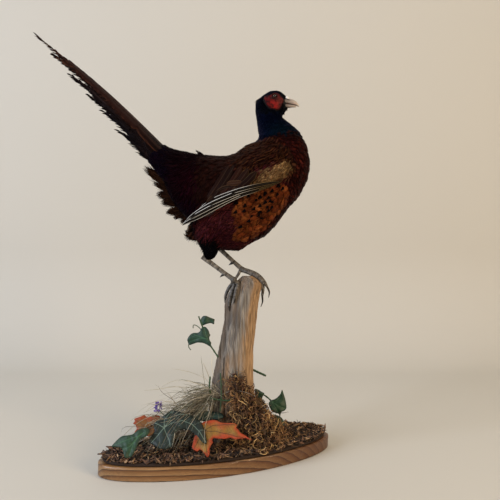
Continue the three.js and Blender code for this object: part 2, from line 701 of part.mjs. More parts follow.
const FINISHES = {
  plumage_dark: { color: 0x2a1216, roughness: 0.75, metalness: 0 },
  plumage_neck: { color: 0x0a1230, roughness: 0.45, metalness: 0.1 },
  plumage_brown: { color: 0x5a3418, roughness: 0.8, metalness: 0 },
  plumage_grey: { color: 0x8c8078, roughness: 0.7, metalness: 0 },
  wattle_skin: { color: 0x9c1c1c, roughness: 0.6, metalness: 0 },
  horn: { color: 0xb8a898, roughness: 0.45, metalness: 0 },
  leg_scales: { color: 0x8a8480, roughness: 0.6, metalness: 0 },
  spur_horn: { color: 0x1c1a1c, roughness: 0.4, metalness: 0 },
  eye_glass: { color: 0x7a3c10, roughness: 0.05, metalness: 0 },
  pine: { color: 0xa06a3c, roughness: 0.5, metalness: 0 },
  driftwood: { color: 0x8a7e70, roughness: 0.85, metalness: 0 },
  bark: { color: 0x3c2a20, roughness: 0.95, metalness: 0 },
  moss_fibre: { color: 0x7a5a3c, roughness: 0.95, metalness: 0 },
  dry_grass: { color: 0x9a8a60, roughness: 0.9, metalness: 0 },
  ivy_cloth: { color: 0x1e4a30, roughness: 0.6, metalness: 0 },
  maple_cloth: { color: 0xc86a28, roughness: 0.7, metalness: 0 },
  flower_cloth: { color: 0x6a50a0, roughness: 0.8, metalness: 0 },
};

const pheasant = new THREE.Group();

function place(name, solid, finish) {
  const mesh = new THREE.Mesh(toGeometry(solid), new THREE.MeshStandardMaterial(FINISHES[finish]));
  mesh.name = name;
  pheasant.add(mesh);
}

place('head', head, 'plumage_neck');
place('neck', neck, 'plumage_neck');
place('trunk', trunk, 'plumage_dark');
place('rump', rump, 'plumage_dark');
place('undertail', undertail, 'plumage_brown');
place('bill_upper', billUpper, 'horn');
place('bill_lower', billLower, 'horn');
for (const [label, side] of [['right', -1], ['left', 1]]) {
  place(`eye_${label}`, eyeBall(side), 'eye_glass');
  place(`wattle_${label}`, wattle(side), 'wattle_skin');
  place(`wing_${label}`, wing(side), 'plumage_brown');
  place(`primaries_${label}`, primaries(side), 'plumage_grey');
}
place('thigh_right', thighRight, 'plumage_dark');
place('thigh_left', thighLeft, 'plumage_dark');
place('tarsus_right', tarsusRight, 'leg_scales');
place('tarsus_left', tarsusLeft, 'leg_scales');
place('spur_right', spur(TARSUS_RIGHT), 'spur_horn');
place('spur_left', spur(TARSUS_LEFT), 'spur_horn');
place('foot_right', footRight, 'leg_scales');
place('foot_left', footLeft, 'leg_scales');
for (let pair = 0; pair < TAIL_PAIRS.length; pair++) {
  place(`tail_${pair + 1}_right`, tailFeather(pair, -1), 'plumage_brown');
  place(`tail_${pair + 1}_left`, tailFeather(pair, 1), 'plumage_brown');
}
place('base_slab', slab, 'pine');
place('driftwood_post', post, 'driftwood');
place('bark_mulch', mulch, 'bark');
place('moss_heap', moss, 'moss_fibre');
place('dry_grass', grass, 'dry_grass');
place('flower', flower(), 'flower_cloth');
for (const [name, solid] of Object.entries(stems)) place(name, solid, 'ivy_cloth');
for (const [name, solid] of Object.entries(leaves)) place(name, solid, `${LEAVES[name][0]}_cloth`);

export default pheasant;
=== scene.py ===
# %% [markdown]
# # A mounted cock pheasant
# The real thing is a bird's skin over a form, set on a driftwood post with a pine slab under it.
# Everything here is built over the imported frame: the frame says where each part is, and these
# cells give each part its feathers, scales, wood or leaf. Lengths in the cells are millimetres,
# because that is how a bird is measured, and one function turns them to metres at the end.

# %% Load the frame
import itertools
import math
import bpy
import numpy as np
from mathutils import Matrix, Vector
from mathutils.bvhtree import BVHTree
from mathutils.geometry import delaunay_2d_cdt


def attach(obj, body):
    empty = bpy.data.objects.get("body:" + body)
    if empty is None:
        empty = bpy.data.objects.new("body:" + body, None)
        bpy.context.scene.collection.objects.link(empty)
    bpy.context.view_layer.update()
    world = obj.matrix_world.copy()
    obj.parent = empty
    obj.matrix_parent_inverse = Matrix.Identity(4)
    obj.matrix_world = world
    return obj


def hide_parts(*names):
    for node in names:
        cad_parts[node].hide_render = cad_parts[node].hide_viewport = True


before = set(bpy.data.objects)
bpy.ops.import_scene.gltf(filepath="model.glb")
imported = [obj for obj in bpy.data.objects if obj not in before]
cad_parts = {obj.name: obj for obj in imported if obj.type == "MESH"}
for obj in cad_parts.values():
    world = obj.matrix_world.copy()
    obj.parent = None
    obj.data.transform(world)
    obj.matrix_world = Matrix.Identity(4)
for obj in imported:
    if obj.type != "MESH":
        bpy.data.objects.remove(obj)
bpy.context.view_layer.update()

MM = 0.001
MIDLINE = 14.0  # y of the plane that halves the bird
draw = np.random.default_rng(20)
print("frame nodes:", len(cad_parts))

# %% [markdown]
# ## Small tools
# A feather, a leaf and a toe are all grids of points, so one function turns a grid of points into
# a mesh. Meshes could be made with bmesh, but arrays are far quicker for thousands of feathers.


# %% Colours and meshes
def colour(hex_text):
    shares = np.array([int(hex_text[i:i + 2], 16) for i in (1, 3, 5)]) / 255
    return np.where(shares <= 0.04045, shares / 12.92, ((shares + 0.055) / 1.055) ** 2.4)


def colours(hex_texts):
    return np.array([colour(text) for text in hex_texts])


def rgba(hex_text):
    return (*colour(hex_text), 1.0)


def make_piece(name, points, faces, slot, replaced=()):
    """Mesh object from points in millimetres and one or more arrays of faces."""
    groups = faces if isinstance(faces, list) else [faces]
    corners = np.concatenate([group.ravel() for group in groups]).astype(np.int32)
    sizes = np.concatenate([np.full(len(group), group.shape[1]) for group in groups])
    starts = np.concatenate([[0], np.cumsum(sizes)[:-1]]).astype(np.int32)
    mesh = bpy.data.meshes.new(name)
    mesh.vertices.add(len(points))
    mesh.vertices.foreach_set("co", (np.asarray(points, float) * MM).astype(np.float32).ravel())
    mesh.loops.add(len(corners))
    mesh.loops.foreach_set("vertex_index", corners)
    mesh.polygons.add(len(sizes))
    mesh.polygons.foreach_set("loop_start", starts)
    mesh.polygons.foreach_set("use_smooth", np.ones(len(sizes), bool))
    mesh.update(calc_edges=True)
    piece = bpy.data.objects.new(name, mesh)
    bpy.context.scene.collection.objects.link(piece)
    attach(piece, "root")
    if replaced:
        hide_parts(*replaced)
    return piece


def add_colours(piece, name, values):
    """Layer of colour from one colour for the whole piece, or one for each point."""
    values = np.atleast_2d(values)
    layer = piece.data.color_attributes.new(name, "FLOAT_COLOR", "POINT")
    full = np.ones((len(piece.data.vertices), 4), np.float32)
    full[:, :values.shape[1]] = values
    layer.data.foreach_set("color", full.ravel())


def add_map(piece, name, values):
    """UV map from one pair of numbers for each point."""
    mesh = piece.data
    corners = np.zeros(len(mesh.loops), np.int32)
    mesh.loops.foreach_get("vertex_index", corners)
    layer = mesh.uv_layers.new(name=name)
    layer.data.foreach_set("uv", np.asarray(values, np.float32)[corners].ravel())


def dress(piece, material, **layers):
    """Give a piece its layers of colour, by name, and its material."""
    for name, values in layers.items():
        add_colours(piece, name, values)
    piece.data.materials.append(material)


def both_sides(points, faces):
    """A shape as it is for the right side, then mirrored in the midline for the left."""
    yield "right", points, faces
    turned = points.copy()
    turned[:, 1] = 2 * MIDLINE - turned[:, 1]
    groups = faces if isinstance(faces, list) else [faces]
    yield "left", turned, [group[:, ::-1] for group in groups]


def grid_faces(rows, columns, closed=True, start=0):
    """Four-cornered faces between the rows of a grid, whose rows may close into rings."""
    row = np.arange(rows - 1)[:, None]
    column = np.arange(columns if closed else columns - 1)[None, :]
    after = (column + 1) % columns
    first = row * columns
    quads = np.stack([first + column, first + after, first + columns + after, first + columns + column], -1)
    return quads.reshape(-1, 4) + start


def unit(vectors):
    return vectors / np.maximum(np.linalg.norm(vectors, axis=-1, keepdims=True), 1e-9)


def smooth_step(low, high, values):
    share = np.clip((values - low) / (high - low), 0, 1)
    return share * share * (3 - 2 * share)


def blend(first, second, share):
    share = np.asarray(share)[..., None]
    return first * (1 - share) + second * share


# %% Shapes along a line
def smooth_rows(rows, count):
    """Catmull-Rom curve through rows of any number of values."""
    rows = np.array(rows, float)
    padded = np.vstack([2 * rows[0] - rows[1], rows, 2 * rows[-1] - rows[-2]])
    at = np.linspace(0, len(rows) - 1, count)
    first = np.minimum(at.astype(int), len(rows) - 2)
    share = (at - first)[:, None]
    a, b, c, d = (padded[first + i] for i in range(4))
    return 0.5 * (2 * b + (c - a) * share + (2 * a - 5 * b + 4 * c - d) * share ** 2
                  + (3 * b - a - 3 * c + d) * share ** 3)


def tube(path, radii, sides):
    """Rings round a path: points as rows by sides, the first side facing across the bird."""
    path = np.asarray(path, float)
    tangents = unit(np.gradient(path, axis=0))
    aim = np.array([0.0, 1.0, 0.0])
    across = unit(aim - tangents * (tangents @ aim)[:, None])
    lift = np.cross(tangents, across)
    angles = np.arange(sides) / sides * math.tau
    radii = np.asarray(radii, float)
    if radii.ndim == 1:
        radii = np.repeat(radii[:, None], sides, axis=1)
    rings = path[:, None] + (radii * np.cos(angles))[..., None] * across[:, None]
    return rings + (radii * np.sin(angles))[..., None] * lift[:, None]


def from_edge(spots, start, end):
    """Share along a straight edge, and the way from its nearest point, for each spot."""
    edge = end - start
    share = np.clip(((spots - start) @ edge) / (edge @ edge), 0, 1)
    return share, spots - start - share[:, None] * edge


def closed_tube(rings):
    """Points and faces of a tube whose ends are drawn in to a point."""
    count, sides = rings.shape[:2]
    points = np.vstack([rings.reshape(-1, 3), rings[0].mean(axis=0), rings[-1].mean(axis=0)])
    quads = grid_faces(count, sides)
    after = (np.arange(sides) + 1) % sides
    near = np.stack([np.full(sides, count * sides), after, np.arange(sides)], -1)
    last = (count - 1) * sides
    far = np.stack([np.full(sides, count * sides + 1), last + np.arange(sides), last + after], -1)
    return points, [quads, np.concatenate([near, far])]


def joined(shapes):
    """Several shapes of points and a list of face arrays, as one."""
    points, sorted_faces, start = [], {}, 0
    for own, groups in shapes:
        for group in groups if isinstance(groups, list) else [groups]:
            sorted_faces.setdefault(group.shape[1], []).append(group + start)
        points.append(own)
        start += len(own)
    return np.concatenate(points), [np.concatenate(groups) for groups in sorted_faces.values()]


# %% [markdown]
# Uneven surfaces and patchy colours need a smooth random value. A sum of waves in random
# directions gives one with plain arithmetic on arrays, where a noise call a point would be slow.


# %% Random height
def ripple(points, size, seed, waves=28):
    """Smooth random value about -1 to 1 at each point, changing over the given size."""
    picks = np.random.default_rng(seed)
    headings = unit(picks.normal(size=(waves, 3)))
    rates = math.tau / (size * picks.uniform(0.6, 1.8, waves))
    starts = picks.uniform(0, math.tau, waves)
    flat = points.reshape(-1, 3)
    value = np.cos(flat @ (headings * rates[:, None]).T + starts).sum(axis=1) / math.sqrt(waves / 2)
    return (value * 0.6).reshape(points.shape[:-1])


# %% [markdown]
# ## Material helper
# Materials are node trees. `put` adds one node, sets it and joins its sockets, and every material
# below is made with it. A value that is the same all over sits on the shader's own socket.


# %% Node helper
def put(tree, kind, sockets=None, **settings):
    """Add one node. Each socket takes a number, a colour, a node (its first output) or an output."""
    added = tree.nodes.new("ShaderNode" + kind)
    for key, value in settings.items():
        setattr(added, key, value)
    for key, value in (sockets or {}).items():
        target = added.inputs[key]
        if isinstance(value, bpy.types.Node):
            tree.links.new(value.outputs[0], target)
        elif isinstance(value, bpy.types.NodeSocket):
            tree.links.new(value, target)
        else:
            target.default_value = value
    return added


def ramp(tree, value, stops):
    """Colour ramp from a value, with stops of place and hex colour."""
    added = put(tree, "ValToRGB", {0: value})
    band = added.color_ramp
    while len(band.elements) < len(stops):
        band.elements.new(1)
    for element, (place, shade) in zip(band.elements, stops):
        element.position = place
        element.color = rgba(shade)
    return added


def new_material(name, **values):
    """Empty material with its shader, whose plain values are given by socket name."""
    made = bpy.data.materials.new(name)
    made.use_nodes = True
    tree = made.node_tree
    tree.nodes.clear()
    shader = put(tree, "BsdfPrincipled")
    for key, value in values.items():
        shader.inputs[key.replace("_", " ")].default_value = value
    put(tree, "OutputMaterial", {"Surface": shader})
    return made, tree, shader


# %% [markdown]
# ## Camera, floor and light
# The view is taken from a little way off, level with the middle of the bird. The lens is long
# enough to keep the tail straight. A big soft window to the left and a warm one to the
# right show the gloss of the feathers without hard shadows.

# %% Camera
CAMERA_PLACE = (57.0, -1026.0, 395.0)
camera_data = bpy.data.cameras.new("camera")
camera_data.lens = 39.0
camera_data.sensor_width = 36.0
camera_data.clip_start = 0.02
camera = bpy.data.objects.new("camera", camera_data)
bpy.context.scene.collection.objects.link(camera)
camera.location = Vector(CAMERA_PLACE) * MM
camera.rotation_euler = (math.pi / 2, 0, 0)
bpy.context.scene.camera = camera

# %% Floor and backdrop
FLOOR_REACH = 6000.0
WALL_PLACE = 700.0
BEND = 400.0
bend_steps = np.linspace(0, math.pi / 2, 16)
profile = [(-FLOOR_REACH, 0.0)]
profile += [(WALL_PLACE + BEND * math.sin(a), BEND * (1 - math.cos(a))) for a in bend_steps]
profile += [(WALL_PLACE + BEND, FLOOR_REACH)]
sweep_points = [(x, y, z - 0.4) for y, z in profile for x in (-FLOOR_REACH, FLOOR_REACH)]
sweep_mesh = bpy.data.meshes.new("studio_sweep")
sweep_faces = [(2 * i, 2 * i + 1, 2 * i + 3, 2 * i + 2) for i in range(len(profile) - 1)]
sweep_mesh.from_pydata([Vector(p) * MM for p in sweep_points], [], sweep_faces)
sweep_mesh.polygons.foreach_set("use_smooth", [True] * len(sweep_mesh.polygons))
sweep = bpy.data.objects.new("studio_sweep", sweep_mesh)
bpy.context.scene.collection.objects.link(sweep)
paper, paper_tree, paper_shader = new_material("seamless_paper_matt", Roughness=0.9)
paper_grain = put(paper_tree, "TexNoise", {"Scale": 3.0})
paper_mix = put(paper_tree, "Mix", {0: paper_grain, 6: rgba("#c4c0b6"), 7: rgba("#cdc9bf")},
                data_type="RGBA")
paper_tree.links.new(paper_mix.outputs[2], paper_shader.inputs["Base Color"])
sweep_mesh.materials.append(paper)


# %% Lights
def soft_light(name, place, aim, size, power, shade):
    data = bpy.data.lights.new(name, "AREA")
    data.shape = "RECTANGLE"
    data.size, data.size_y = size
    data.energy = power
    data.color = colour(shade)
    lamp = bpy.data.objects.new(name, data)
    bpy.context.scene.collection.objects.link(lamp)
    lamp.location = place
    lamp.rotation_euler = (Vector(aim) - Vector(place)).to_track_quat("-Z", "Y").to_euler()


soft_light("window_left", (-2.4, -1.5, 1.5), (0, 0, 0.4), (1.5, 1.5), 78, "#e6eeff")
soft_light("window_right", (2.2, -1.8, 1.4), (0, 0, 0.4), (1.2, 1.2), 54, "#ffe2b8")
soft_light("sky_above", (0.2, -0.2, 3.0), (0, 0, 0.3), (2.4, 2.4), 22, "#ffffff")
world = bpy.data.worlds.new("studio_air")
world.use_nodes = True
world.node_tree.nodes["Background"].inputs["Color"].default_value = rgba("#e8e6e2")
world.node_tree.nodes["Background"].inputs["Strength"].default_value = 0.24
bpy.context.scene.world = world
bpy.context.scene.view_settings.view_transform = "Standard"

# %% [markdown]
# ## Where each marking is
# A cock of this dark kind has a blue-black neck, a maroon breast, a chestnut flank with black
# spots, brown shoulders, khaki wing coverts and a very dark rump. Each region is an outline in
# side view with a soft edge. The skin and the feathers read the same regions, so a gap between
# two feathers never shows the wrong colour.

# %% Regions and their feathers
NECK_EDGE = ((77, 607), (146, 620))
REGIONS = {
    # name: outline in side view, x and z
    "breast": [(60, 640), (190, 650), (200, 560), (178, 528), (150, 492), (112, 452), (92, 428), (78, 424),
               (96, 445), (118, 478), (131, 512), (140, 548), (132, 575), (110, 600), (88, 612)],
    "flank": [
        (44, 496), (80, 513), (124, 526), (139, 512), (130, 480), (102, 446), (76, 425), (50, 421),
        (43, 432), (56, 450), (46, 470),
    ],
    "mantle": [(68, 622), (112, 606), (134, 584), (141, 562), (120, 560), (80, 552), (40, 524), (-10, 500),
               (-38, 500), (-30, 545), (-4, 566), (0, 640)],
    "coverts": [(147, 554), (130, 564), (98, 550), (66, 532), (44, 515), (60, 508), (90, 515), (135, 538)],
    "rump": [(2, 640), (-4, 572), (-24, 530), (-30, 480), (-48, 442), (-70, 410), (-200, 400), (-200, 660)],
    "undertail": [(-170, 580), (-124, 537), (-108, 525), (-98, 480), (-76, 448), (-48, 436), (-40, 404),
                  (-90, 396), (-200, 440)],
    "thigh": [(-66, 436), (-30, 446), (2, 432), (8, 396), (-8, 366), (-60, 366)],
}
FEATHERS = {
    # name: (length, width, spacing, lift at the tip, jitter, freedom from the skin, depth of the coat)
    "head": (4.0, 2.6, 1.15, 1.3, 0.12, 0.10, 1.2),
    "neck": (9.0, 5.4, 2.0, 2.2, 0.12, 0.10, 2.0),
    "breast": (14, 10.5, 3.4, 3.2, 0.08, 0.06, 2.7),
    "belly": (24, 11, 3.9, 3.4, 0.22, 0.10, 3.0),
    "flank": (25, 12, 4.6, 4.0, 0.12, 0.05, 3.2),
    "mantle": (25, 6.4, 3.3, 4.4, 0.14, 0.08, 3.2),
    "coverts": (22, 3.4, 2.5, 3.2, 0.12, 0.08, 3.0),
    "rump": (32, 9, 3.5, 4.4, 0.24, 0.12, 3.2),
    "undertail": (26, 8.5, 3.4, 5.0, 0.34, 0.6, 9.0),
    "thigh": (14, 6.5, 2.4, 3.2, 0.24, 0.15, 2.8),
}
SHADES = {
    # name: (tints, edge colour, strength of edge, of streak along the shaft, of tip spot)
    "head": (["#07090b", "#06070d", "#0a0c09"], "#030406", 0.3, 0.0, 0.0),
    "neck": (["#030716", "#030511", "#040b17"], "#010207", 0.5, 0.0, 0.0),
    "breast": (["#321110", "#220a09", "#461a12"], "#070202", 0.9, 0.0, 0.1),
    "belly": (["#42191e", "#301216", "#562a22"], "#0c0508", 0.5, 0.25, 0.0),
    "flank": (["#5e2b14", "#451c0d", "#733e1c"], "#341509", 0.35, 0.2, 0.0),
    "mantle": (["#200a08", "#140505", "#2a100b"], "#0b0403", 0.5, 0.6, 0.0),
    "coverts": (["#7d6142", "#644a2f", "#8e7450"], "#26160e", 0.7, 0.3, 0.0),
    "rump": (["#0b0304", "#060202", "#150706"], "#020101", 0.5, 0.1, 0.0),
    "undertail": (["#3a2215", "#1c100b", "#44291b"], "#0c0605", 0.4, 0.25, 0.0),
    "thigh": (["#080707", "#050607", "#0d0909"], "#030303", 0.4, 0.0, 0.0),
}
ZONES = list(FEATHERS)
SPACING, COAT_DEPTH = 2, 6  # columns of FEATHERS


def by_zone(column):
    """One column of FEATHERS, in the order of the zones."""
    return np.array([FEATHERS[name][column] for name in ZONES])


def outline_distance(points, outline):
    """Distance in side view to a closed outline, negative inside it."""
    spot = points[:, [0, 2]]
    corners = np.array(outline, float)
    following = np.roll(corners, -1, axis=0)
    nearest = np.full(len(spot), 1e9)
    inside = np.zeros(len(spot), bool)
    for start, end in zip(corners, following):
        _, away = from_edge(spot, start, end)
        nearest = np.minimum(nearest, np.linalg.norm(away, axis=1))
        crosses = (start[1] > spot[:, 1]) != (end[1] > spot[:, 1])
        rise = np.where(end[1] == start[1], 1e-9, end[1] - start[1])
        at = start[0] + (spot[:, 1] - start[1]) / rise * (end[0] - start[0])
        inside ^= crosses & (spot[:, 0] < at)
    return np.where(inside, -nearest, nearest)


def zone_weights(points):
    """Share of each zone at each point, the later ones painted over the earlier."""
    shares = np.zeros((len(points), len(ZONES)))
    shares[:, ZONES.index("belly")] = 1

    def paint(name, cover):
        shares[:] = shares * (1 - cover[:, None])
        shares[:, ZONES.index(name)] += cover

    across = np.abs(points[:, 1] - MIDLINE)
    for name in ("breast", "flank", "mantle", "coverts", "rump", "undertail", "thigh"):
        cover = smooth_step(4, -4, outline_distance(points, REGIONS[name]))
        if name == "flank":
            cover = cover * smooth_step(22, 34, across)
        if name == "coverts":
            cover = cover * smooth_step(28, 38, across)
        if name == "thigh":
            cover = cover * smooth_step(436, 418, points[:, 2]) * smooth_step(2, 12, across)
        paint(name, cover)
    (x1, z1), (x2, z2) = NECK_EDGE
    above = points[:, 2] - (z1 + (points[:, 0] - x1) * (z2 - z1) / (x2 - x1))
    fade = 3 + 7 * smooth_step(95, 140, points[:, 0])
    paint("neck", smooth_step(-fade, fade, above + 2 * ripple(points, 9, 61)))
    paint("head", smooth_step(648, 660, points[:, 2] - 0.12 * (points[:, 0] - 95)))
    return shares


def zone_shade(names_index, spread):
    """One tint for each feather of its zone, with a little change from feather to feather."""
    tints = np.zeros((len(names_index), 3))
    for number, name in enumerate(ZONES):
        mine = names_index == number
        choices = colours(SHADES[name][0])
        tints[mine] = choices[draw.integers(0, len(choices), mine.sum())]
    return tints * (1 + spread * draw.normal(size=(len(tints), 1)))


# %% [markdown]
# ## The skin
# On a mount one tanned skin covers the whole form, so one mesh stands for all the flesh parts.
# The parts from the frame are joined, closed into one surface with a voxel remesh, and pulled in
# by the depth of the coat, so that the feathers' tips come out at the frame's own outline. Under
# the tail there is no form at all, only deep ragged feathers, so the frame's undertail is left out
# of the skin and given back as tufts.

# %% One skin over the flesh
FORM = ["head", "neck", "trunk", "rump", "wing_right", "wing_left", "thigh_right", "thigh_left"]
SKIN_GRAIN = 2.4  # voxel size


def read_vertices(mesh, what="co"):
    values = np.zeros(len(mesh.vertices) * 3, np.float32)
    mesh.vertices.foreach_get(what, values)
    return values.reshape(-1, 3).astype(float)


def read_shape(mesh):
    """Points in millimetres and triangles of a mesh."""
    mesh.calc_loop_triangles()
    tris = np.zeros(len(mesh.loop_triangles) * 3, np.int32)
    mesh.loop_triangles.foreach_get("vertices", tris)
    return read_vertices(mesh) / MM, tris.reshape(-1, 3)


def node_shape(nodes):
    points, tris, start = [], [], 0
    for node in nodes:
        own, faces = read_shape(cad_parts[node].data)
        points.append(own)
        tris.append(faces + start)
        start += len(own)
    return np.concatenate(points), np.concatenate(tris)


def shape_tree(points, tris):
    return BVHTree.FromPolygons(points.tolist(), tris.tolist())


def apply_modifier(piece, kind, **values):
    """Put the result of one modifier into the piece's mesh."""
    added = piece.modifiers.new(kind, kind)
    for key, value in values.items():
        setattr(added, key, value)
    graph = bpy.context.evaluated_depsgraph_get()
    made = bpy.data.meshes.new_from_object(piece.evaluated_get(graph))
    piece.modifiers.clear()
    piece.data = made


skin = make_piece("skin", *node_shape(FORM), "body_plumage", FORM)
apply_modifier(skin, "REMESH", mode="VOXEL", voxel_size=SKIN_GRAIN * MM, use_smooth_shade=True)
apply_modifier(skin, "SMOOTH", factor=0.5, iterations=10)
outer_points = read_vertices(skin.data) / MM
depths = zone_weights(outer_points) @ by_zone(COAT_DEPTH)
inner_points = outer_points - read_vertices(skin.data, "normal") * depths[:, None]
crown = smooth_step(690, 702, inner_points[:, 2])
inner_points[:, 2] += 1.7 * crown
VENT_LINE = [(-150, 567), (-40, 430)]  # where the frame's undertail begins
vent_along = unit(np.subtract(VENT_LINE[1], VENT_LINE[0]).astype(float))
vent_in = np.array([-vent_along[1], vent_along[0]])
from_vent = (inner_points[:, [0, 2]] - VENT_LINE[0]) @ vent_in
tucked = 9 * np.clip(1 - from_vent / 26, 0, 1) * smooth_step(-80, -108, inner_points[:, 0])
inner_points[:, [0, 2]] += vent_in * tucked[:, None]
skin.data.vertices.foreach_set("co", (inner_points * MM).astype(np.float32).ravel())
apply_modifier(skin, "SMOOTH", factor=0.5, iterations=5)
skin_points, skin_tris = read_shape(skin.data)
skin_tree = shape_tree(skin_points, skin_tris)
print("skin triangles:", len(skin_tris))


def on_skin(points):
    """Nearest point of the skin and its outward direction, for each point."""
    found = np.zeros((len(points), 6))
    for i, point in enumerate(points):
        place, normal, _, _ = skin_tree.find_nearest(point)
        found[i, :3] = place
        found[i, 3:] = normal
    return found[:, :3], found[:, 3:]


# %% [markdown]
# ## How the feathers lie
# Feathers point back from the bill and down the neck, then sweep round the breast and along the
# body to the tail. A few directions are noted in side view, and every feather takes a blend of the
# nearest ones. The alternative, combing each tract by hand, would not repeat.

# %% Lie of the coat
LIE = np.array([
    # x, z, heading in x, heading in z
    (128, 682, -1, 0.1), (102, 700, -1, -0.1), (74, 684, -0.75, -0.6), (104, 664, -0.6, -0.75),
    (122, 655, -0.45, -0.9), (92, 642, -0.1, -1), (73, 622, -0.35, -0.95), (125, 634, 0.2, -1),
    (145, 610, 0.35, -1), (172, 565, -0.05, -1), (160, 510, -0.45, -0.9), (125, 460, -0.65, -0.7),
    (85, 422, -0.9, -0.35), (36, 396, -1, -0.05), (-30, 405, -0.9, -0.2), (62, 592, -0.75, -0.6),
    (140, 552, -0.75, -0.65), (100, 540, -0.75, -0.65), (60, 530, -0.7, -0.7), (20, 520, -0.7, -0.7),
    (5, 560, -0.85, -0.5), (95, 490, -0.8, -0.55), (40, 450, -0.85, -0.5), (-20, 470, -0.5, -0.85),
    (-60, 570, -0.97, -0.1), (-50, 520, -0.6, -0.8), (-40, 540, -0.6, -0.8), (-45, 500, -0.35, -0.93),
    (-105, 588, -0.8, 0.6), (-95, 530, -0.9, 0.15), (-132, 540, -0.72, 0.7), (-118, 490, -0.9, 0.35),
    (-95, 455, -0.97, -0.1), (-65, 425, -0.85, -0.5), (-25, 415, -0.25, -0.95), (-20, 385, -0.2, -1),
])


def lie_of(points, normals):
    """Direction in which feathers lie at each point, along the surface."""
    away = points[:, None, [0, 2]] - LIE[None, :, :2]
    pull = 1 / ((away ** 2).sum(-1) + 60) ** 1.6
    flat = pull @ unit(LIE[:, 2:])
    heading = np.stack([flat[:, 0], np.zeros(len(flat)), flat[:, 1]], -1)
    heading = unit(heading)
    heading -= normals * (heading * normals).sum(-1, keepdims=True)
    return unit(heading)


# %% [markdown]
# ## One feather, many feathers
# A body feather is a thin vane on a shaft: narrow and downy at the root, widest past the middle,
# then a round tip whose barbs part a little. Each is a closed ring of points at every row of its
# length, arched across, with the barbs of the last row drawn out unevenly. All the feathers of
# one kind are made at once from arrays, because a loop over each one would take minutes.

# %% Feather shapes
SHAPES = {
    # name: rows as (place along the feather, share of full width), points across, drawn-out barbs
    "contour": (
        [(0, 0.3), (0.25, 0.75), (0.5, 1), (0.7, 1), (0.85, 0.86), (0.95, 0.62), (1, 0.5)], 9, 0.085,
    ),
    "scale": ([(0, 0.4), (0.35, 0.9), (0.65, 1), (0.88, 0.8), (1, 0.5)], 7, 0.1),
    "fleck": ([(0, 0.5), (0.45, 1), (0.82, 0.78), (1, 0.25)], 3, 0.12),
    "lock": ([(0, 0.6), (0.3, 1), (0.6, 0.85), (0.85, 0.5), (1, 0.08)], 3, 0.05),
    "wedge": ([(0, 0.45), (0.18, 1), (0.55, 0.62), (1, 0.1)], 3, 0.05),
    "quill": (
        [(i / 20, min(1, 0.3 + i / 6) * (1 - (i / 20) ** 5) ** 0.6 + 0.03) for i in range(21)], 9, 0.004,
    ),
}


def shape_rows(shape):
    return np.array([place for place, _ in SHAPES[shape][0]])


def vanes(shape, spines, ups, widths, camber=0.12, thickness=0.25):
    """Points, faces, places on the vane and owner of each point, for many feathers of one shape.

    Spines and ups hold one point and one upward direction for each row of each feather.
    """
    rows, columns, drawn = SHAPES[shape]
    count, length = spines.shape[:2]
    tangents = unit(np.gradient(spines, axis=1))
    sides = unit(np.cross(tangents, ups))
    ups = np.cross(sides, tangents)
    across = np.linspace(-1, 1, columns)
    half = np.array([share for _, share in rows])[None, :] * np.asarray(widths).reshape(-1, 1) / 2
    reach = np.linalg.norm(spines[:, -1] - spines[:, 0], axis=-1)
    top = spines[:, :, None, :] + sides[:, :, None, :] * (half[:, :, None] * across)[..., None]
    arch = (1 - across ** 2) * camber
    top = top + ups[:, :, None, :] * (half[:, :, None] * arch)[..., None]
    parted = np.arange(columns) % 2
    uneven = (draw.uniform(-0.9, 0.5, (count, 1, columns)) - 0.9 * parted) * drawn
    ease = (np.array([place for place, _ in rows]) ** 6)[None, :, None]
    round_tip = -0.5 * drawn * across ** 2
    top = top + tangents[:, :, None, :] * (ease * (uneven + round_tip) * reach[:, None, None])[..., None]
    below = spines - ups * (thickness * (1 - shape_rows(shape) ** 4))[None, :, None]
    rings = np.concatenate([top, below[:, :, None, :]], axis=2)
    ring = columns + 1
    faces = grid_faces(length, ring)
    shifts = np.arange(count)[:, None, None] * (length * ring)
    faces = (faces[None] + shifts).reshape(-1, 4)
    places = np.zeros((count, length, ring, 2))
    places[..., 0] = np.append(across, 0) * 0.5 + 0.5
    places[..., 1] = shape_rows(shape)[None, :, None]
    owners = np.repeat(np.arange(count), length * ring)
    return rings.reshape(-1, 3), faces, places.reshape(-1, 2), owners


# %% [markdown]
# ## Plumage materials
# A feather's colour comes from its own tint, and its pattern from where a point is on the vane:
# an edge all round, a streak along the shaft and a spot at the tip. Barbs run out from the shaft
# at a slant, so a fine wave along that slant serves as bump and as faint colour. Blue and green
# gloss on the neck is a metal-like tint under a smooth surface, as it is in the real barbules.


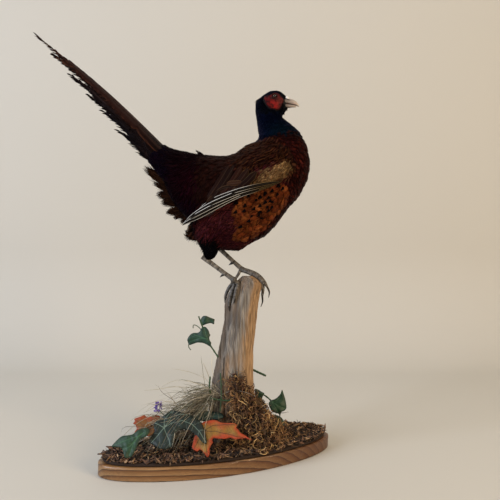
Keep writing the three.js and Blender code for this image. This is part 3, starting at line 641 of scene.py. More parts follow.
# %% Plumage
def plumage(name, gloss_tint, metal, rough, barb_count, bump=0.35, streak="#8a6430",
            shaft_width=0.16, gloss=0.10, rim=0.62, broad=1.75, tip_edge=0.95):
    """Vane of one kind of feather. The edge band starts at the rim, a share of the way out."""
    made, tree, shader = new_material(
        name, Metallic=metal, Roughness=rough, Specular_Tint=rgba(gloss_tint), Specular_IOR_Level=gloss
    )
    tint = put(tree, "Attribute", attribute_name="Tint")
    edge = put(tree, "Attribute", attribute_name="Edge")
    marks = put(tree, "SeparateColor", {0: put(tree, "Attribute", attribute_name="Marks").outputs["Color"]})
    place = put(tree, "SeparateXYZ", {0: put(tree, "UVMap", uv_map="Vane")})
    centred = put(tree, "Math", {0: place.outputs["X"], 1: 0.5}, operation="SUBTRACT")
    out = put(tree, "Math", {0: centred}, operation="ABSOLUTE")
    along = place.outputs["Y"]
    slant = put(tree, "Math", {0: out, 1: -0.5, 2: along}, operation="MULTIPLY_ADD")
    phase = put(tree, "Math", {0: slant, 1: barb_count * math.tau}, operation="MULTIPLY")
    barbs = put(tree, "Math", {0: phase}, operation="SINE")
    squeezed = put(tree, "Math", {0: out, 1: 0.15}, operation="MULTIPLY")
    streaks = put(tree, "TexNoise", {
        0: put(tree, "CombineXYZ", {0: slant, 1: squeezed}),
        "Scale": barb_count * 0.7, "Detail": 2.0,
    })
    tip = put(tree, "MapRange", {0: along, 1: 0.45, 2: 1.0, 3: 0.0, 4: tip_edge})
    wide = put(tree, "Math", {0: out, 1: broad}, operation="MULTIPLY")
    square = put(tree, "Math", {0: wide, 1: 2.0}, operation="POWER")
    rounded = put(tree, "Math", {0: tip, 1: tip, 2: square}, operation="MULTIPLY_ADD")
    uneven_rim = put(tree, "Math", {0: streaks, 1: 0.35, 2: rounded}, operation="MULTIPLY_ADD")
    edge_band = put(tree, "MapRange", {0: uneven_rim, 1: rim, 2: (1 + rim) / 1.62},
                    interpolation_type="SMOOTHSTEP")
    edge_share = put(tree, "Math", {0: edge_band, 1: marks.outputs[0]}, operation="MULTIPLY")
    shaft = put(tree, "MapRange", {0: out, 1: shaft_width, 2: shaft_width / 3},
                interpolation_type="SMOOTHSTEP")
    shaft_share = put(tree, "Math", {0: shaft, 1: marks.outputs[1]}, operation="MULTIPLY")
    wedge = put(tree, "Math", {0: out, 1: 0.7, 2: along}, operation="MULTIPLY_ADD")
    spot_band = put(tree, "MapRange", {0: wedge, 1: 0.80, 2: 0.87}, interpolation_type="SMOOTHSTEP")
    narrow = put(tree, "MapRange", {0: out, 1: 0.34, 2: 0.24}, interpolation_type="SMOOTHSTEP")
    spot_all = put(tree, "Math", {0: spot_band, 1: narrow}, operation="MULTIPLY")
    spot_share = put(tree, "Math", {0: spot_all, 1: marks.outputs[2]}, operation="MULTIPLY")
    shade = put(tree, "MapRange", {0: streaks, 1: 0.3, 2: 0.7, 3: 0.5, 4: 1.4})
    based = put(tree, "VectorMath", {0: tint.outputs["Color"], "Scale": shade}, operation="SCALE")
    edged = put(tree, "Mix", {0: edge_share, 6: based, 7: edge.outputs["Color"]}, data_type="RGBA")
    shafted = put(tree, "Mix", {0: shaft_share, 6: edged.outputs[2], 7: rgba(streak)}, data_type="RGBA")
    spotted = put(tree, "Mix", {0: spot_share, 6: shafted.outputs[2], 7: rgba("#08070a")}, data_type="RGBA")
    tree.links.new(spotted.outputs[2], shader.inputs["Base Color"])
    relief = put(tree, "Math", {0: barbs, 1: 0.5, 2: streaks}, operation="MULTIPLY_ADD")
    bumped = put(tree, "Bump", {"Height": relief, "Strength": bump, "Distance": 0.0006})
    tree.links.new(bumped.outputs[0], shader.inputs["Normal"])
    return made


NECK_FEATHER = plumage("feather_iridescent_blue_gloss", "#3a6cff", 0.35, 0.42, 22, gloss=0.05)
BREAST_FEATHER = plumage("feather_maroon_satin", "#d07060", 0.12, 0.5, 26, gloss=0.05, streak="#6a2620")
BODY_FEATHER = plumage("feather_brown_satin", "#b08060", 0.0, 0.5, 26, gloss=0.04, streak="#6e4628",
                       shaft_width=0.12)
RUMP_FEATHER = plumage("feather_purple_hairy_gloss", "#6a4c90", 0.05, 0.52, 20, gloss=0.04,
                       streak="#3a1420")
DOWN_FEATHER = plumage("feather_tan_soft", "#a08060", 0.0, 0.62, 20, streak="#4a2e1a", gloss=0.04)
WING_FEATHER = plumage("feather_wing_quill_satin", "#c0b0a0", 0.0, 0.45, 80, 0.2, "#8a7866", 0.04,
                       gloss=0.10, rim=0.84, broad=2.25, tip_edge=0.3)

# %% [markdown]
# ## Scattering the feathers
# Roots are spread evenly: points are drawn over the skin, more where feathers are small, and one
# is kept only if no other lies closer than the spacing of its zone. Each spine is then walked
# along the skin in the direction of the lie, rising to its tip, so that every feather covers the
# roots of those behind it like shingles.

# %% Roots on the skin
tri_points = skin_points[skin_tris]
tri_cross = np.cross(tri_points[:, 1] - tri_points[:, 0], tri_points[:, 2] - tri_points[:, 0])
tri_area = np.linalg.norm(tri_cross, axis=1) / 2
tri_middle = tri_points.mean(axis=1)
tri_zones = zone_weights(tri_middle)
tri_spacing = tri_zones @ by_zone(SPACING)
crowding = tri_area / tri_spacing ** 2
TRIES = int(crowding.sum() * 8)
picked = draw.choice(len(skin_tris), TRIES, p=crowding / crowding.sum())
mix = draw.dirichlet((1, 1, 1), TRIES)
tries = (tri_points[picked] * mix[..., None]).sum(axis=1)
spacings = tri_spacing[picked]

CELL = 4.0
CLOSEST = 0.72  # square of the share of the spacing that stays free round a root
kept, filed = [], {}


def crowded(spot, cell, gap):
    """Whether a root that is kept already lies too close to this place."""
    x, y, z = spot
    cx, cy, cz = cell
    reach = math.ceil(gap / CELL)
    for dx, dy, dz in itertools.product(range(-reach, reach + 1), repeat=3):
        for ox, oy, oz in filed.get((cx + dx, cy + dy, cz + dz), ()):
            if (ox - x) ** 2 + (oy - y) ** 2 + (oz - z) ** 2 < gap * gap * CLOSEST:
                return True
    return False


cells = np.floor(tries / CELL).astype(int)
for number, (spot, cell) in enumerate(zip(tries, cells)):
    if not crowded(spot, cell, spacings[number]):
        filed.setdefault(tuple(cell), []).append(tuple(spot))
        kept.append(number)
roots = tries[kept]
print("roots:", len(roots))

# %% Bare places
EYE_CENTRE = np.array([103.6, 0, 686.6])
EYE_OUT = 11.4
EYE_RADIUS = 4.8
WATTLE = [
    (82, 682), (85, 687), (92, 687), (98, 690), (104, 693), (110, 692), (116, 687), (121.5, 680),
    (119, 673), (117, 668), (114, 662.5), (109, 660), (102, 661.5), (95, 662.5), (88.5, 668),
    (85, 675),
]
BILL_BASE = [(123, 683), (131, 688), (160, 690), (160, 660), (136, 669), (127, 672.5), (121, 676)]
UNDER_QUILLS = [
    (95, 512), (50, 504), (18, 494), (-10, 484), (-36, 466), (-72, 438), (-60, 442), (-29, 455),
    (19, 478), (61, 498), (91, 508),
]
beside = np.abs(roots[:, 1] - MIDLINE)
bare_face = (outline_distance(roots, WATTLE) < -0.4) & (beside > 4)
bill_place = outline_distance(roots, BILL_BASE) < 0
under_quills = (outline_distance(roots, UNDER_QUILLS) < 0) & (beside > 40)
roots = roots[~(bare_face | bill_place | under_quills)]
root_zones = zone_weights(roots)
zone_of = np.array([draw.choice(len(ZONES), p=row / row.sum()) for row in root_zones])
for number, name in enumerate(ZONES):
    print(name, (zone_of == number).sum())

# %% [markdown]
# ## An unwrap for the coat
# Every feather's colours are kept on a small patch at its root's place on an unwrap of the skin:
# how far along the bird it is, by how far round. The line along the bird runs from the crown down
# the neck and through the body to the vent.

# %% Unwrap along the bird
CORE = np.array([
    (100, 700), (98, 672), (95, 640), (108, 600), (98, 550), (70, 505), (20, 490), (-40, 505),
    (-90, 540), (-150, 600),
], float)
core_steps = np.concatenate([[0], np.cumsum(np.linalg.norm(np.diff(CORE, axis=0), axis=1))])


def unwrap(points):
    """Place of each point on the skin's unwrap: share along the bird, share round it."""
    spot = points[:, [0, 2]]
    best = np.full(len(spot), 1e9)
    along = np.zeros(len(spot))
    rise = np.zeros(len(spot))
    for start, end, run in zip(CORE[:-1], CORE[1:], core_steps):
        edge = end - start
        share, away = from_edge(spot, start, end)
        gap = np.linalg.norm(away, axis=1)
        closer = gap < best
        best = np.where(closer, gap, best)
        along = np.where(closer, run + share * np.linalg.norm(edge), along)
        turned = (edge[0] * away[:, 1] - edge[1] * away[:, 0]) / np.linalg.norm(edge)
        rise = np.where(closer, turned, rise)
    angle = np.arctan2(points[:, 1] - MIDLINE, rise) / math.tau + 0.5
    return np.stack([along / core_steps[-1], angle], -1)


PATCH = 0.003  # side of a feather's patch, and margin round them all


def add_patches(piece, root_places, places, owners):
    """OFBake map: each feather is a patch at its root's place on the unwrap."""
    low = root_places.min(axis=0)
    span = np.maximum(root_places.max(axis=0) - low, 1e-6)
    spread = PATCH + (root_places - low) / span * (1 - 3 * PATCH)
    add_map(piece, "OFBake", spread[owners] + (places - 0.5) * PATCH)


# %% Spines over the skin
def walk(starts, lengths, lifts, shares, loose, sway):
    """Spine and upward directions of feathers that start on the skin and lie along it."""
    places, normals = on_skin(starts)
    headings = lie_of(places, normals)
    sides = np.cross(normals, headings)
    headings = unit(headings + sides * sway[:, None])
    first = headings.copy()
    first_normals = normals.copy()
    spines, ups = [places - normals * 0.8], [normals]
    at = places
    for before, after in zip(shares[:-1], shares[1:]):
        ahead = at + headings * (lengths * (after - before))[:, None]
        at, normals = on_skin(ahead)
        carried = lie_of(at, normals)
        carried_sides = np.cross(normals, carried)
        headings = unit(carried + carried_sides * sway[:, None])
        raised = at + normals * (lifts * after ** 1.3)[:, None]
        straight = starts + first * (lengths * after)[:, None] + first_normals * (lifts * after)[:, None]
        share = (loose * after)[:, None]
        spines.append(raised * (1 - share) + straight * share)
        ups.append(unit(normals * (1 - share) + first_normals * share))
    return np.stack(spines, 1), np.stack(ups, 1)


# %% [markdown]
# ## The small feathers
# Each zone is one joined mesh, or two where it would pass the limit for a piece. Head feathers are
# mere flecks. On the rump, belly and vent the barbs hang apart like hair, so those feathers are
# split into narrow locks.

# %% Grow the coat
ZONE_BUILD = {
    # name: shape, material, locks for each root, width of a lock as a share
    "head": ("fleck", NECK_FEATHER, 1, 1.0),
    "neck": ("scale", NECK_FEATHER, 1, 1.0),
    "breast": ("contour", BREAST_FEATHER, 1, 1.0),
    "belly": ("lock", BREAST_FEATHER, 3, 0.42),
    "flank": ("contour", BODY_FEATHER, 1, 1.0),
    "mantle": ("contour", BODY_FEATHER, 1, 1.0),
    "coverts": ("contour", BODY_FEATHER, 1, 1.0),
    "rump": ("lock", RUMP_FEATHER, 3, 0.40),
    "undertail": ("lock", DOWN_FEATHER, 3, 0.45),
    "thigh": ("lock", RUMP_FEATHER, 2, 0.6),
}


def local_scale(name, points):
    """How feathers grow in size over a zone, as a share of its usual size."""
    x, z = points[:, 0], points[:, 2]
    if name == "mantle":
        return 0.75 + 0.75 * smooth_step(110, 0, x)
    if name == "breast":
        return 0.75 + 0.35 * smooth_step(620, 520, z)
    if name == "neck":
        return 0.7 + 0.55 * smooth_step(660, 615, z)
    if name == "coverts":
        return 0.7 + 0.7 * smooth_step(140, 60, x)
    if name == "head":
        return 0.5 + 0.7 * smooth_step(126, 92, x)
    if name == "rump":
        return 0.85 + 0.3 * smooth_step(0, -80, x)
    return np.ones(len(points))


def zone_tints(name, starts, zone_shares):
    """Tint of each feather, blended a little with its neighbours' zones and changed by place."""
    index = np.array([ZONES.index(name)] * len(starts))
    patchy = 1 + 0.45 * ripple(starts, 22, 71) + 0.4 * ripple(starts, 9, 72)
    own = zone_shade(index, 0.22) * np.clip(patchy, 0.25, 2)[:, None]
    others = np.zeros_like(own)
    for number, other in enumerate(ZONES):
        others += zone_shares[:, [number]] * colour(SHADES[other][0][0])
    tints = blend(own, others, 0.35)
    x, z = starts[:, 0], starts[:, 2]
    if name == "neck":
        green = smooth_step(75, 120, x) * smooth_step(650, 625, z)
        tints = blend(tints, colour("#04161a"), 0.8 * green)
    if name == "rump":
        # Painted sheen: navy patches low on the rump and a maroon patch in its middle, over near-black
        # feathers.
        low = smooth_step(590, 555, z)
        blue = smooth_step(-62, -84, x) * smooth_step(500, 522, z)
        blue = np.maximum(blue, np.exp(-((x + 58) / 16) ** 2 - ((z - 486) / 14) ** 2))
        blue = np.clip(blue + 0.3 * ripple(starts, 14, 73), 0, 1)
        tints = blend(tints, colour("#08081a"), 0.6 * low * blue)
        warm = np.exp(-((x + 34) / 26) ** 2 - ((z - 528) / 30) ** 2)
        tints = blend(tints, colour("#280810"), 0.8 * np.clip(warm + 0.2 * ripple(starts, 12, 74), 0, 1))
    if name == "belly":
        purple = smooth_step(470, 430, z) * smooth_step(60, 20, x)
        tints = blend(tints, colour("#2e0f18") * np.clip(patchy, 0.4, 1.8)[:, None], 0.6 * purple)
    if name == "breast":
        low = smooth_step(500, 450, z)
        tints = blend(tints, colour("#16080a"), 0.6 * low)
        top = smooth_step(590, 630, z)
        tints = blend(tints, colour("#0c0304"), 0.9 * top)
    if name == "mantle":
        back = smooth_step(60, 0, x)
        tints = blend(tints, colour("#140605"), 0.6 * back)
    return tints


def coat_piece(name, part, starts, zone_shares):
    length, width, _, lift, jitter, loose, _ = FEATHERS[name]
    shape, material, locks, lock_share = ZONE_BUILD[name]
    starts = np.repeat(starts, locks, axis=0)
    shares = np.repeat(zone_shares, locks, axis=0)
    count = len(starts)
    scale = local_scale(name, starts) * (1 + 0.12 * draw.normal(size=count))
    sway = draw.normal(size=count) * jitter
    if locks > 1:
        sway = sway + np.tile(np.linspace(-0.16, 0.16, locks), count // locks)
        scale = scale * draw.uniform(0.72, 1.12, count)
    lifts = lift * draw.uniform(0.55, 1.15, count)
    spines, ups = walk(starts, length * scale, lifts, shape_rows(shape), np.full(count, loose), sway)
    roll = draw.normal(size=(count, 1, 1)) * (0.10 if locks == 1 else 0.35)
    tangents = unit(np.gradient(spines, axis=1))
    ups = unit(ups + np.cross(tangents, ups) * roll)
    points, faces, places, owners = vanes(shape, spines, ups, width * lock_share * scale)
    piece = make_piece(f"coat_{name}_{part}", points, faces, ZONE_SLOT[name])
    tints = zone_tints(name, starts, shares)
    marks = np.zeros((count, 3))
    marks[:] = SHADES[name][2:]
    marks *= draw.uniform(0.75, 1.0, (count, 1))
    if name == "mantle":
        marks[:, 1:2] *= (0.08 + smooth_step(15, 75, starts[:, [0]])) * draw.uniform(0.2, 1.1, (count, 1))
    dress(piece, material, Tint=tints[owners], Edge=colour(SHADES[name][1]), Marks=marks[owners])
    add_map(piece, "Vane", places)
    add_patches(piece, unwrap(starts), places, owners)
    print(piece.name, "feathers:", count, "triangles:", len(faces) * 2)
    return len(faces) * 2


ZONE_SLOT = {
    "head": "neck_plumage", "neck": "neck_plumage", "breast": "body_plumage", "belly": "body_plumage",
    "flank": "body_plumage", "mantle": "body_plumage", "thigh": "body_plumage", "rump": "rump_plumage",
    "undertail": "rump_plumage", "coverts": "wing_plumage",
}
PIECE_LIMIT = 190000
coat_total = 0
for number, name in enumerate(ZONES):
    mine = zone_of == number
    rows, columns, _ = SHAPES[ZONE_BUILD[name][0]]
    each = (len(rows) - 1) * (columns + 1) * 2 * ZONE_BUILD[name][2]
    parts = int(np.ceil(mine.sum() * each / PIECE_LIMIT))
    order = np.argsort(unwrap(roots[mine])[:, 0])
    for part, chosen in enumerate(np.array_split(order, max(parts, 1))):
        coat_total += coat_piece(name, part + 1, roots[mine][chosen], root_zones[mine][chosen])
print("coat triangles:", coat_total)

# %% Pointed tufts
TUFTS = {
    # zone they are coloured as: base and tip in side view, locks, half height and half depth of the base
    "undertail": [
        ((-86, 504), (-149, 557), 240, 2.5, 5), ((-98, 524), (-143, 556), 120, 4, 8),
        ((-80, 498), (-131, 526), 180, 4, 10), ((-76, 496), (-126, 503), 220, 10, 18),
        ((-72, 488), (-116, 486), 220, 10, 18), ((-64, 476), (-106, 465), 260, 10, 18),
        ((-58, 472), (-92, 455), 180, 9, 18), ((-50, 462), (-78, 446), 180, 9, 16),
        ((-36, 455), (-69, 414), 180, 9, 14), ((-30, 450), (-56, 410), 180, 8, 14),
        ((-24, 446), (-44, 402), 140, 8, 12), ((-98, 543), (-122, 545), 120, 9, 12),
        ((-16, 430), (-34, 384), 120, 8, 12),
    ],
    "rump": [((-32, 574), (-49, 587), 26, 3, 8), ((8, 563), (-7, 577), 22, 3, 8),
             ((-58, 574), (-74, 584), 20, 3, 8)],
    "head": [((80, 683), (65.5, 677.5), 40, 4, 6), ((122, 669), (130, 662), 30, 3, 4),
             ((126, 671), (135.5, 668.5), 26, 2, 3), ((117, 662), (124, 654), 30, 3, 4)],
}


def tuft(base, tip, count, high, deep):
    """Spines and upward directions of locks that run together to a ragged point."""
    share = shape_rows("lock")[None, :, None]
    base, tip = np.array([base[0], MIDLINE, base[1]]), np.array([tip[0], MIDLINE, tip[1]])
    line = tip - base
    square = unit(np.array([-line[2], 0, line[0]]))
    off = draw.uniform(-1, 1, (count, 2))
    reach = draw.uniform(0.6, 1.0, (count, 1))
    aside = square * off[:, :1] * high + np.array([0, 1, 0]) * off[:, 1:] * deep
    start = base + aside
    end = base + line * reach + aside * np.array([1, 0.5, 1]) * (1.25 - reach)
    end = end + square * draw.normal(size=(count, 1)) * 0.05 * np.linalg.norm(line)
    bow = draw.normal(size=(count, 1, 3)) * 0.12 * np.linalg.norm(line)
    spines = start[:, None] * (1 - share) + end[:, None] * share + bow * share * (1 - share)
    ups = np.zeros_like(spines)
    ups[..., 1] = np.where(off[:, 1:] < 0, -1, 1)
    ups[..., 2] = draw.normal(size=(count, 1)) * 0.5
    return spines, unit(ups)


for zone, layouts in TUFTS.items():
    grown = [tuft(*layout) for layout in layouts]
    spines, ups = (np.concatenate(part) for part in zip(*grown))
    count = len(spines)
    thick = 0.4 if zone == "undertail" else 0.45
    points, faces, places, owners = vanes("lock", spines, ups, draw.uniform(1.2, 4.0, count) * thick)
    swapped = ("undertail",) if zone == "undertail" else ()
    piece = make_piece(f"tufts_{zone}", points, faces, ZONE_SLOT[zone], swapped)
    dark = draw.uniform(0.25, 1.3, (count, 1))
    dress(
        piece, ZONE_BUILD[zone][1],
        Tint=(zone_shade(np.full(count, ZONES.index(zone)), 0.1) * dark)[owners],
        Edge=colour(SHADES[zone][1]),
        Marks=SHADES[zone][2:],
    )
    add_map(piece, "Vane", places)
    add_patches(piece, unwrap(spines[:, 0]), places, owners)

# %% Spots on the flank
# Each black wedge is the tip of a feather of its own, which lies over its neighbours.
SPOTS = [
    # x, z in side view
    (79, 491), (71, 485), (52, 476), (79, 474), (95, 471), (69, 468), (51, 465), (81, 460),
    (64, 454), (79, 451), (48, 429), (35, 481), (97, 489), (103, 482), (92, 508), (112, 477),
    (117, 494), (105, 503), (88, 499), (57, 493), (130, 503), (64, 440), (90, 444), (103, 460),
    (34, 463), (118, 511), (90, 482), (112, 466),
]
spot_places = np.array([(x, MIDLINE - 70, z) for x, z in SPOTS], float)
spot_places = np.concatenate([spot_places, spot_places * [1, -1, 1] + [0, 2 * MIDLINE, 0]])
count = len(spot_places)
spot_size = draw.uniform(0.8, 1.25, count)
spines, ups = walk(spot_places, 8.5 * spot_size, np.zeros(count), shape_rows("wedge"), np.zeros(count),
                   draw.normal(size=count) * 0.2)
spines = spines + ups * np.array([3.6, 4.3, 4.8, 5.0])[None, :, None]
points, faces, places, owners = vanes("wedge", spines, ups, 6.2 * spot_size)
spots = make_piece("flank_spots", points, faces, "body_plumage")
dress(spots, BODY_FEATHER, Tint=colour("#090709"), Edge=colour("#201008"), Marks=(0.3, 0, 0))
add_map(spots, "Vane", places)
add_patches(spots, unwrap(spot_places), places, owners)
print("flank spots:", count)

# %% [markdown]
# ## Colour of the skin
# What shows between feathers is skin and down in the shadow of the coat. It takes the same
# regions and tints, darkened, so that the pattern carries through.

# %% Skin finish
skin_shares = zone_weights(skin_points)
zone_base = colours(SHADES[name][0][0] for name in ZONES)
# Painted shade: the skin takes the blended zone tints at 0.45 of their brightness, for the shadow under the
# coat.
skin_shade = (skin_shares @ zone_base) * 0.45
add_colours(skin, "Tint", skin_shade)
skin_finish, skin_nodes, skin_shader = new_material("bird_skin_downy", Roughness=0.8)
skin_grain = put(skin_nodes, "TexNoise", {"Scale": 900.0, "Detail": 3.0})
skin_light = put(skin_nodes, "MapRange", {0: skin_grain, 3: 0.7, 4: 1.3})
skin_tint = put(skin_nodes, "Attribute", attribute_name="Tint")
skin_mixed = put(skin_nodes, "VectorMath", {0: skin_tint.outputs["Color"], "Scale": skin_light},
                 operation="SCALE")
skin_nodes.links.new(skin_mixed.outputs[0], skin_shader.inputs["Base Color"])
skin_bump = put(skin_nodes, "Bump", {"Height": skin_grain, "Strength": 0.5, "Distance": 0.001})
skin_nodes.links.new(skin_bump.outputs[0], skin_shader.inputs["Normal"])
skin.data.materials.append(skin_finish)

# %% [markdown]
# ## Folded wings
# The long quills of a folded wing lie one on another like a closed fan. The primaries make a thin
# bundle of pale edges along the bottom, with the secondaries just over it. The tertials and long
# scapulars come down across them at a steeper slant, and only their ends with pale shafts show.
# Each quill is drawn in side view and laid on the frame's wing by casting a ray at it from the
# side. The left wing is the right one mirrored.

# %% Where the quills lie
BUNDLE_LOW = [(98, 511.5), (66, 501), (34, 490), (0, 473), (-36.6, 453.5), (-61.8, 443.5), (-74, 435)]
BUNDLE_HIGH = [(116, 520), (89, 515.5), (50, 507), (20, 499), (-7, 490), (-34, 471.5), (-57, 454.5)]
QUILL_SETS = {
    # name: widths, heights over the wing, colours, edge colour, strengths of edge, shaft and spot
    "primary": ((7.4, 6.2), (0.4, 2.8), ["#0a0807", "#120f0d", "#080706"], "#ebe5da", (1.0, 0.12, 0.0)),
    "secondary": ((8, 10), (2.2, 3.2), ["#22120c", "#1a0d09", "#2e1a11"], "#6a4e34", (0.4, 0.15, 0.0)),
    "tertial": ((11, 14), (2.0, 3.0), ["#1c0b08", "#150706", "#240f0a"], "#22100b", (0.3, 0.12, 0.0)),
}
TERTIALS = [
    # root and tip in side view
    ((18, 548), (-26, 479)), ((28, 548), (-14, 484)), ((42, 546), (4, 492)), ((54, 541), (16, 495)),
    ((68, 535), (31, 501)),
]


right_form = shape_tree(*node_shape(["wing_right", "primaries_right", "trunk", "rump"]))


RAY_START = 200  # from the midline, well outside the bird
FLANK_REACH = 55.0  # from the midline to where a quill off the form starts its search


def beside_bird(spots):
    """Points on the right side of the frame's bird at places x, z, with outward directions."""
    found = []
    for x, z in spots:
        hit = right_form.ray_cast(Vector((x, MIDLINE - RAY_START, z)), Vector((0, 1, 0)))
        if hit[0] is None or hit[0].y > MIDLINE - 25:
            hit = right_form.find_nearest(Vector((x, MIDLINE - FLANK_REACH, z)))
        found.append((*hit[0], *hit[1]))
    found = np.array(found)
    return found[:, :3], found[:, 3:]


def quill_lines(kind):
    """Side-view lines of the quills of one set, from the lowest to the topmost."""
    shares = shape_rows("quill")[:, None]
    if kind == "tertial":
        slack = shares * (1 - shares) * np.array([-10, 4])
        return [np.array(root) * (1 - shares) + np.array(tip) * shares - slack for root, tip in TERTIALS]
    low, high = smooth_rows(BUNDLE_LOW, 61), smooth_rows(BUNDLE_HIGH, 61)
    ranks = [(0.06, 0.93), (0.32, 1.0), (0.58, 0.97), (0.86, 0.84)]
    if kind == "secondary":
        ranks = [(1.1, 0.78), (1.36, 0.72), (1.6, 0.64)]
    lines = []
    for rank, reach in ranks:
        full = low * (1 - rank) + high * rank
        begin = 0.0 if kind == "primary" else 0.42
        at = (begin + shares[:, 0] * (reach - begin)) * 60
        lines.append(np.stack([np.interp(at, np.arange(61), full[:, i]) for i in (0, 1)], -1))
    return lines


def quill_spines(kind):
    heights = QUILL_SETS[kind][1]
    lines = quill_lines(kind)
    shares = shape_rows("quill")
    spines, ups = [], []
    for place, spots in zip(np.linspace(0, 1, len(lines)), lines):
        points, normals = beside_bird(spots)
        fair = np.polyval(np.polyfit(shares, points[:, 1], 3), shares)
        y = fair - heights[0] - (heights[1] - heights[0]) * place
        spines.append(np.stack([spots[:, 0], y, spots[:, 1]], -1))
        mean = unit(normals[4:17].mean(axis=0) * np.array([0.3, 1, 0.6]))
        ups.append(np.repeat(mean[None], len(shares), axis=0))
    return np.stack(spines), np.stack(ups)


# %% Wing quills
def strip_places(owners, places, count):
    """OFBake places where each of a few long feathers has a strip of its own."""
    wide = 0.9 / count
    return np.stack([(owners + 0.05) / count + places[:, 0] * wide, 0.01 + 0.98 * places[:, 1]], -1)


for kind, (widths, _, tints, edge, strengths) in QUILL_SETS.items():
    spines, ups = quill_spines(kind)
    count = len(spines)
    points, faces, places, owners = vanes("quill", spines, ups, np.linspace(*widths, count), 0.10, 0.4)
    choices = colours(tints)
    own = choices[np.arange(count) % len(choices)] * draw.uniform(0.9, 1.1, (count, 1))
    for side, put_points, put_faces in both_sides(points, faces):
        slot = "flight_feathers" if kind == "primary" else "wing_plumage"
        swapped = (f"primaries_{side}",) if kind == "primary" else ()
        piece = make_piece(f"{kind}_quills_{side}", put_points, put_faces, slot, swapped)
        add_colours(piece, "Tint", own[owners])
        worn = smooth_step(30, 75, put_points[:, 0])
        add_colours(piece, "Edge", blend(colour(edge), colour("#77603c"), worn))
        bright = np.array([0.8, 1.0, 1.0, 0.9])[owners] if kind == "primary" else np.ones(len(owners))
        dress(piece, WING_FEATHER, Marks=bright[:, None] * np.array(strengths))
        add_map(piece, "Vane", places)
        add_map(piece, "OFBake", strip_places(owners, places, count))
    print(kind, "quills:", count, "triangles on each side:", len(faces) * 2)

# %% [markdown]
# ## Tail
# The tail is a narrow roof of long tapering feathers, the middle pair longest and on top. A cock's
# tail feathers are chestnut down the middle, greyer at the sides, with faint dark bars, and in a
# mount that has stood for years the barbs have parted into ragged points along the edges. The
# frame's own curve is followed, with many more rows, and notches and loose barbs are cut in it.

# %% Tail feathers
TAIL_PITCH = math.radians(40.9)
TAIL_ROOT = (-110, 597)
TAIL_PAIRS = [
    (322, 0.5, 7, 12), (274, 11, 8, 12), (221, 21, 17, 11.5), (167, 28, 22, 11), (129, 33, 27, 10),
    (80, 40, 34, 9),
]
TAIL_ARCH = 7  # how far the closed tail bows up between the rump and its tip
TAIL_HALF_WIDTH = 23
TAIL_TIP_HALF_WIDTH = 5
TAIL_LAYER = 1.6
TAIL_BURIED = 16  # how far the quills run on into the rump
tail_along = np.array([-math.cos(TAIL_PITCH), 0, math.sin(TAIL_PITCH)])
tail_up = np.array([math.sin(TAIL_PITCH), 0, math.cos(TAIL_PITCH)])
TAIL_TINTS = ["#26120d", "#1b0e0c", "#130c0d", "#0e0b0e", "#0c0b10", "#0b0b10"]


def tail_points(reach, hang, layer):
    """Points of the right half of the roof that the tail feathers form."""
    share = np.clip(reach / TAIL_PAIRS[0][0], 0, 1)
    half = TAIL_HALF_WIDTH + (TAIL_TIP_HALF_WIDTH - TAIL_HALF_WIDTH) * share - layer
    bend = np.clip((hang - layer) / (half * 0.8), 0, 1)
    out = half * np.sqrt(np.maximum(1 - (1 - bend) ** 2, 0))
    base = np.array([TAIL_ROOT[0], 0, TAIL_ROOT[1]])
    arch = TAIL_ARCH * np.sin(math.pi * share)
    points = base + tail_along * reach[..., None] + tail_up * (arch - hang)[..., None]
    points[..., 1] = MIDLINE - out - 0.8
    return points


def notches(shares, count, depth):
    """Share of the half width left where barbs have parted, along one edge of a feather."""
    left = np.ones(len(shares))
    for at in draw.uniform(0.12, 0.97, count):
        wide = draw.uniform(0.008, 0.03)
        gap = (shares - at) / wide
        cut = np.where(gap > 0, np.exp(-gap * 5), np.exp(gap * 0.9))
        left -= draw.uniform(0.3, 1) * depth * cut
    return np.clip(left, 0.25, 1)


TAIL_ROWS = 120
TAIL_COLUMNS = 9
tail_shares = np.linspace(0, 1, TAIL_ROWS) ** 0.9
tail_grids = []
for pair, (reach, tip_hang, root_hang, half_width) in enumerate(TAIL_PAIRS):
    layer = pair * TAIL_LAYER
    middle = root_hang + (tip_hang - root_hang) * tail_shares ** 3  # the tips turn out late
    vane_end = 0.915 if pair == 0 else 1  # the longest quill ends bare
    taper = half_width * np.maximum(1 - (tail_shares / vane_end) ** 2.2, 0.03 if pair else 0.055)
    taper *= 1 - 0.25 * smooth_step(0.55, 0.9, tail_shares)
    above = taper * notches(tail_shares, 7, 0.35)
    below = taper * notches(tail_shares, 12, 0.6)
    across = np.linspace(0, 1, TAIL_COLUMNS)
    top = np.maximum(middle - above, layer + (0 if pair == 0 else 2))
    hang = np.maximum(top[:, None] * (1 - across) + (middle + below)[:, None] * across, layer)
    run = -TAIL_BURIED + (reach + TAIL_BURIED) * tail_shares
    skew = 5.0 * np.abs(across - 0.5) * np.minimum(1, 8 * (1 - tail_shares))[:, None]
    along = run[:, None] - skew
    wave = 0.5 * np.sin(tail_shares * 9 + pair)[:, None]
    outer = tail_points(along, hang + wave * 0.3, layer)
    ridge = np.exp(-((across - 0.5) / 0.06) ** 2) * 0.5
    outer[..., 1] -= ridge
    inner = tail_points(along, hang + wave * 0.3, layer + 0.5)
    tail_grids.append((outer, inner))


def tail_feather(pair):
    outer, inner = tail_grids[pair]
    rings = np.concatenate([outer, inner[:, ::-1]], axis=1)
    across = np.linspace(0, 1, TAIL_COLUMNS)
    ring_across = np.concatenate([across, across[::-1]])
    places = np.zeros((*rings.shape[:2], 2))
    places[..., 0] = ring_across
    places[..., 1] = tail_shares[:, None]
    return rings.reshape(-1, 3), grid_faces(*rings.shape[:2]), places.reshape(-1, 2)


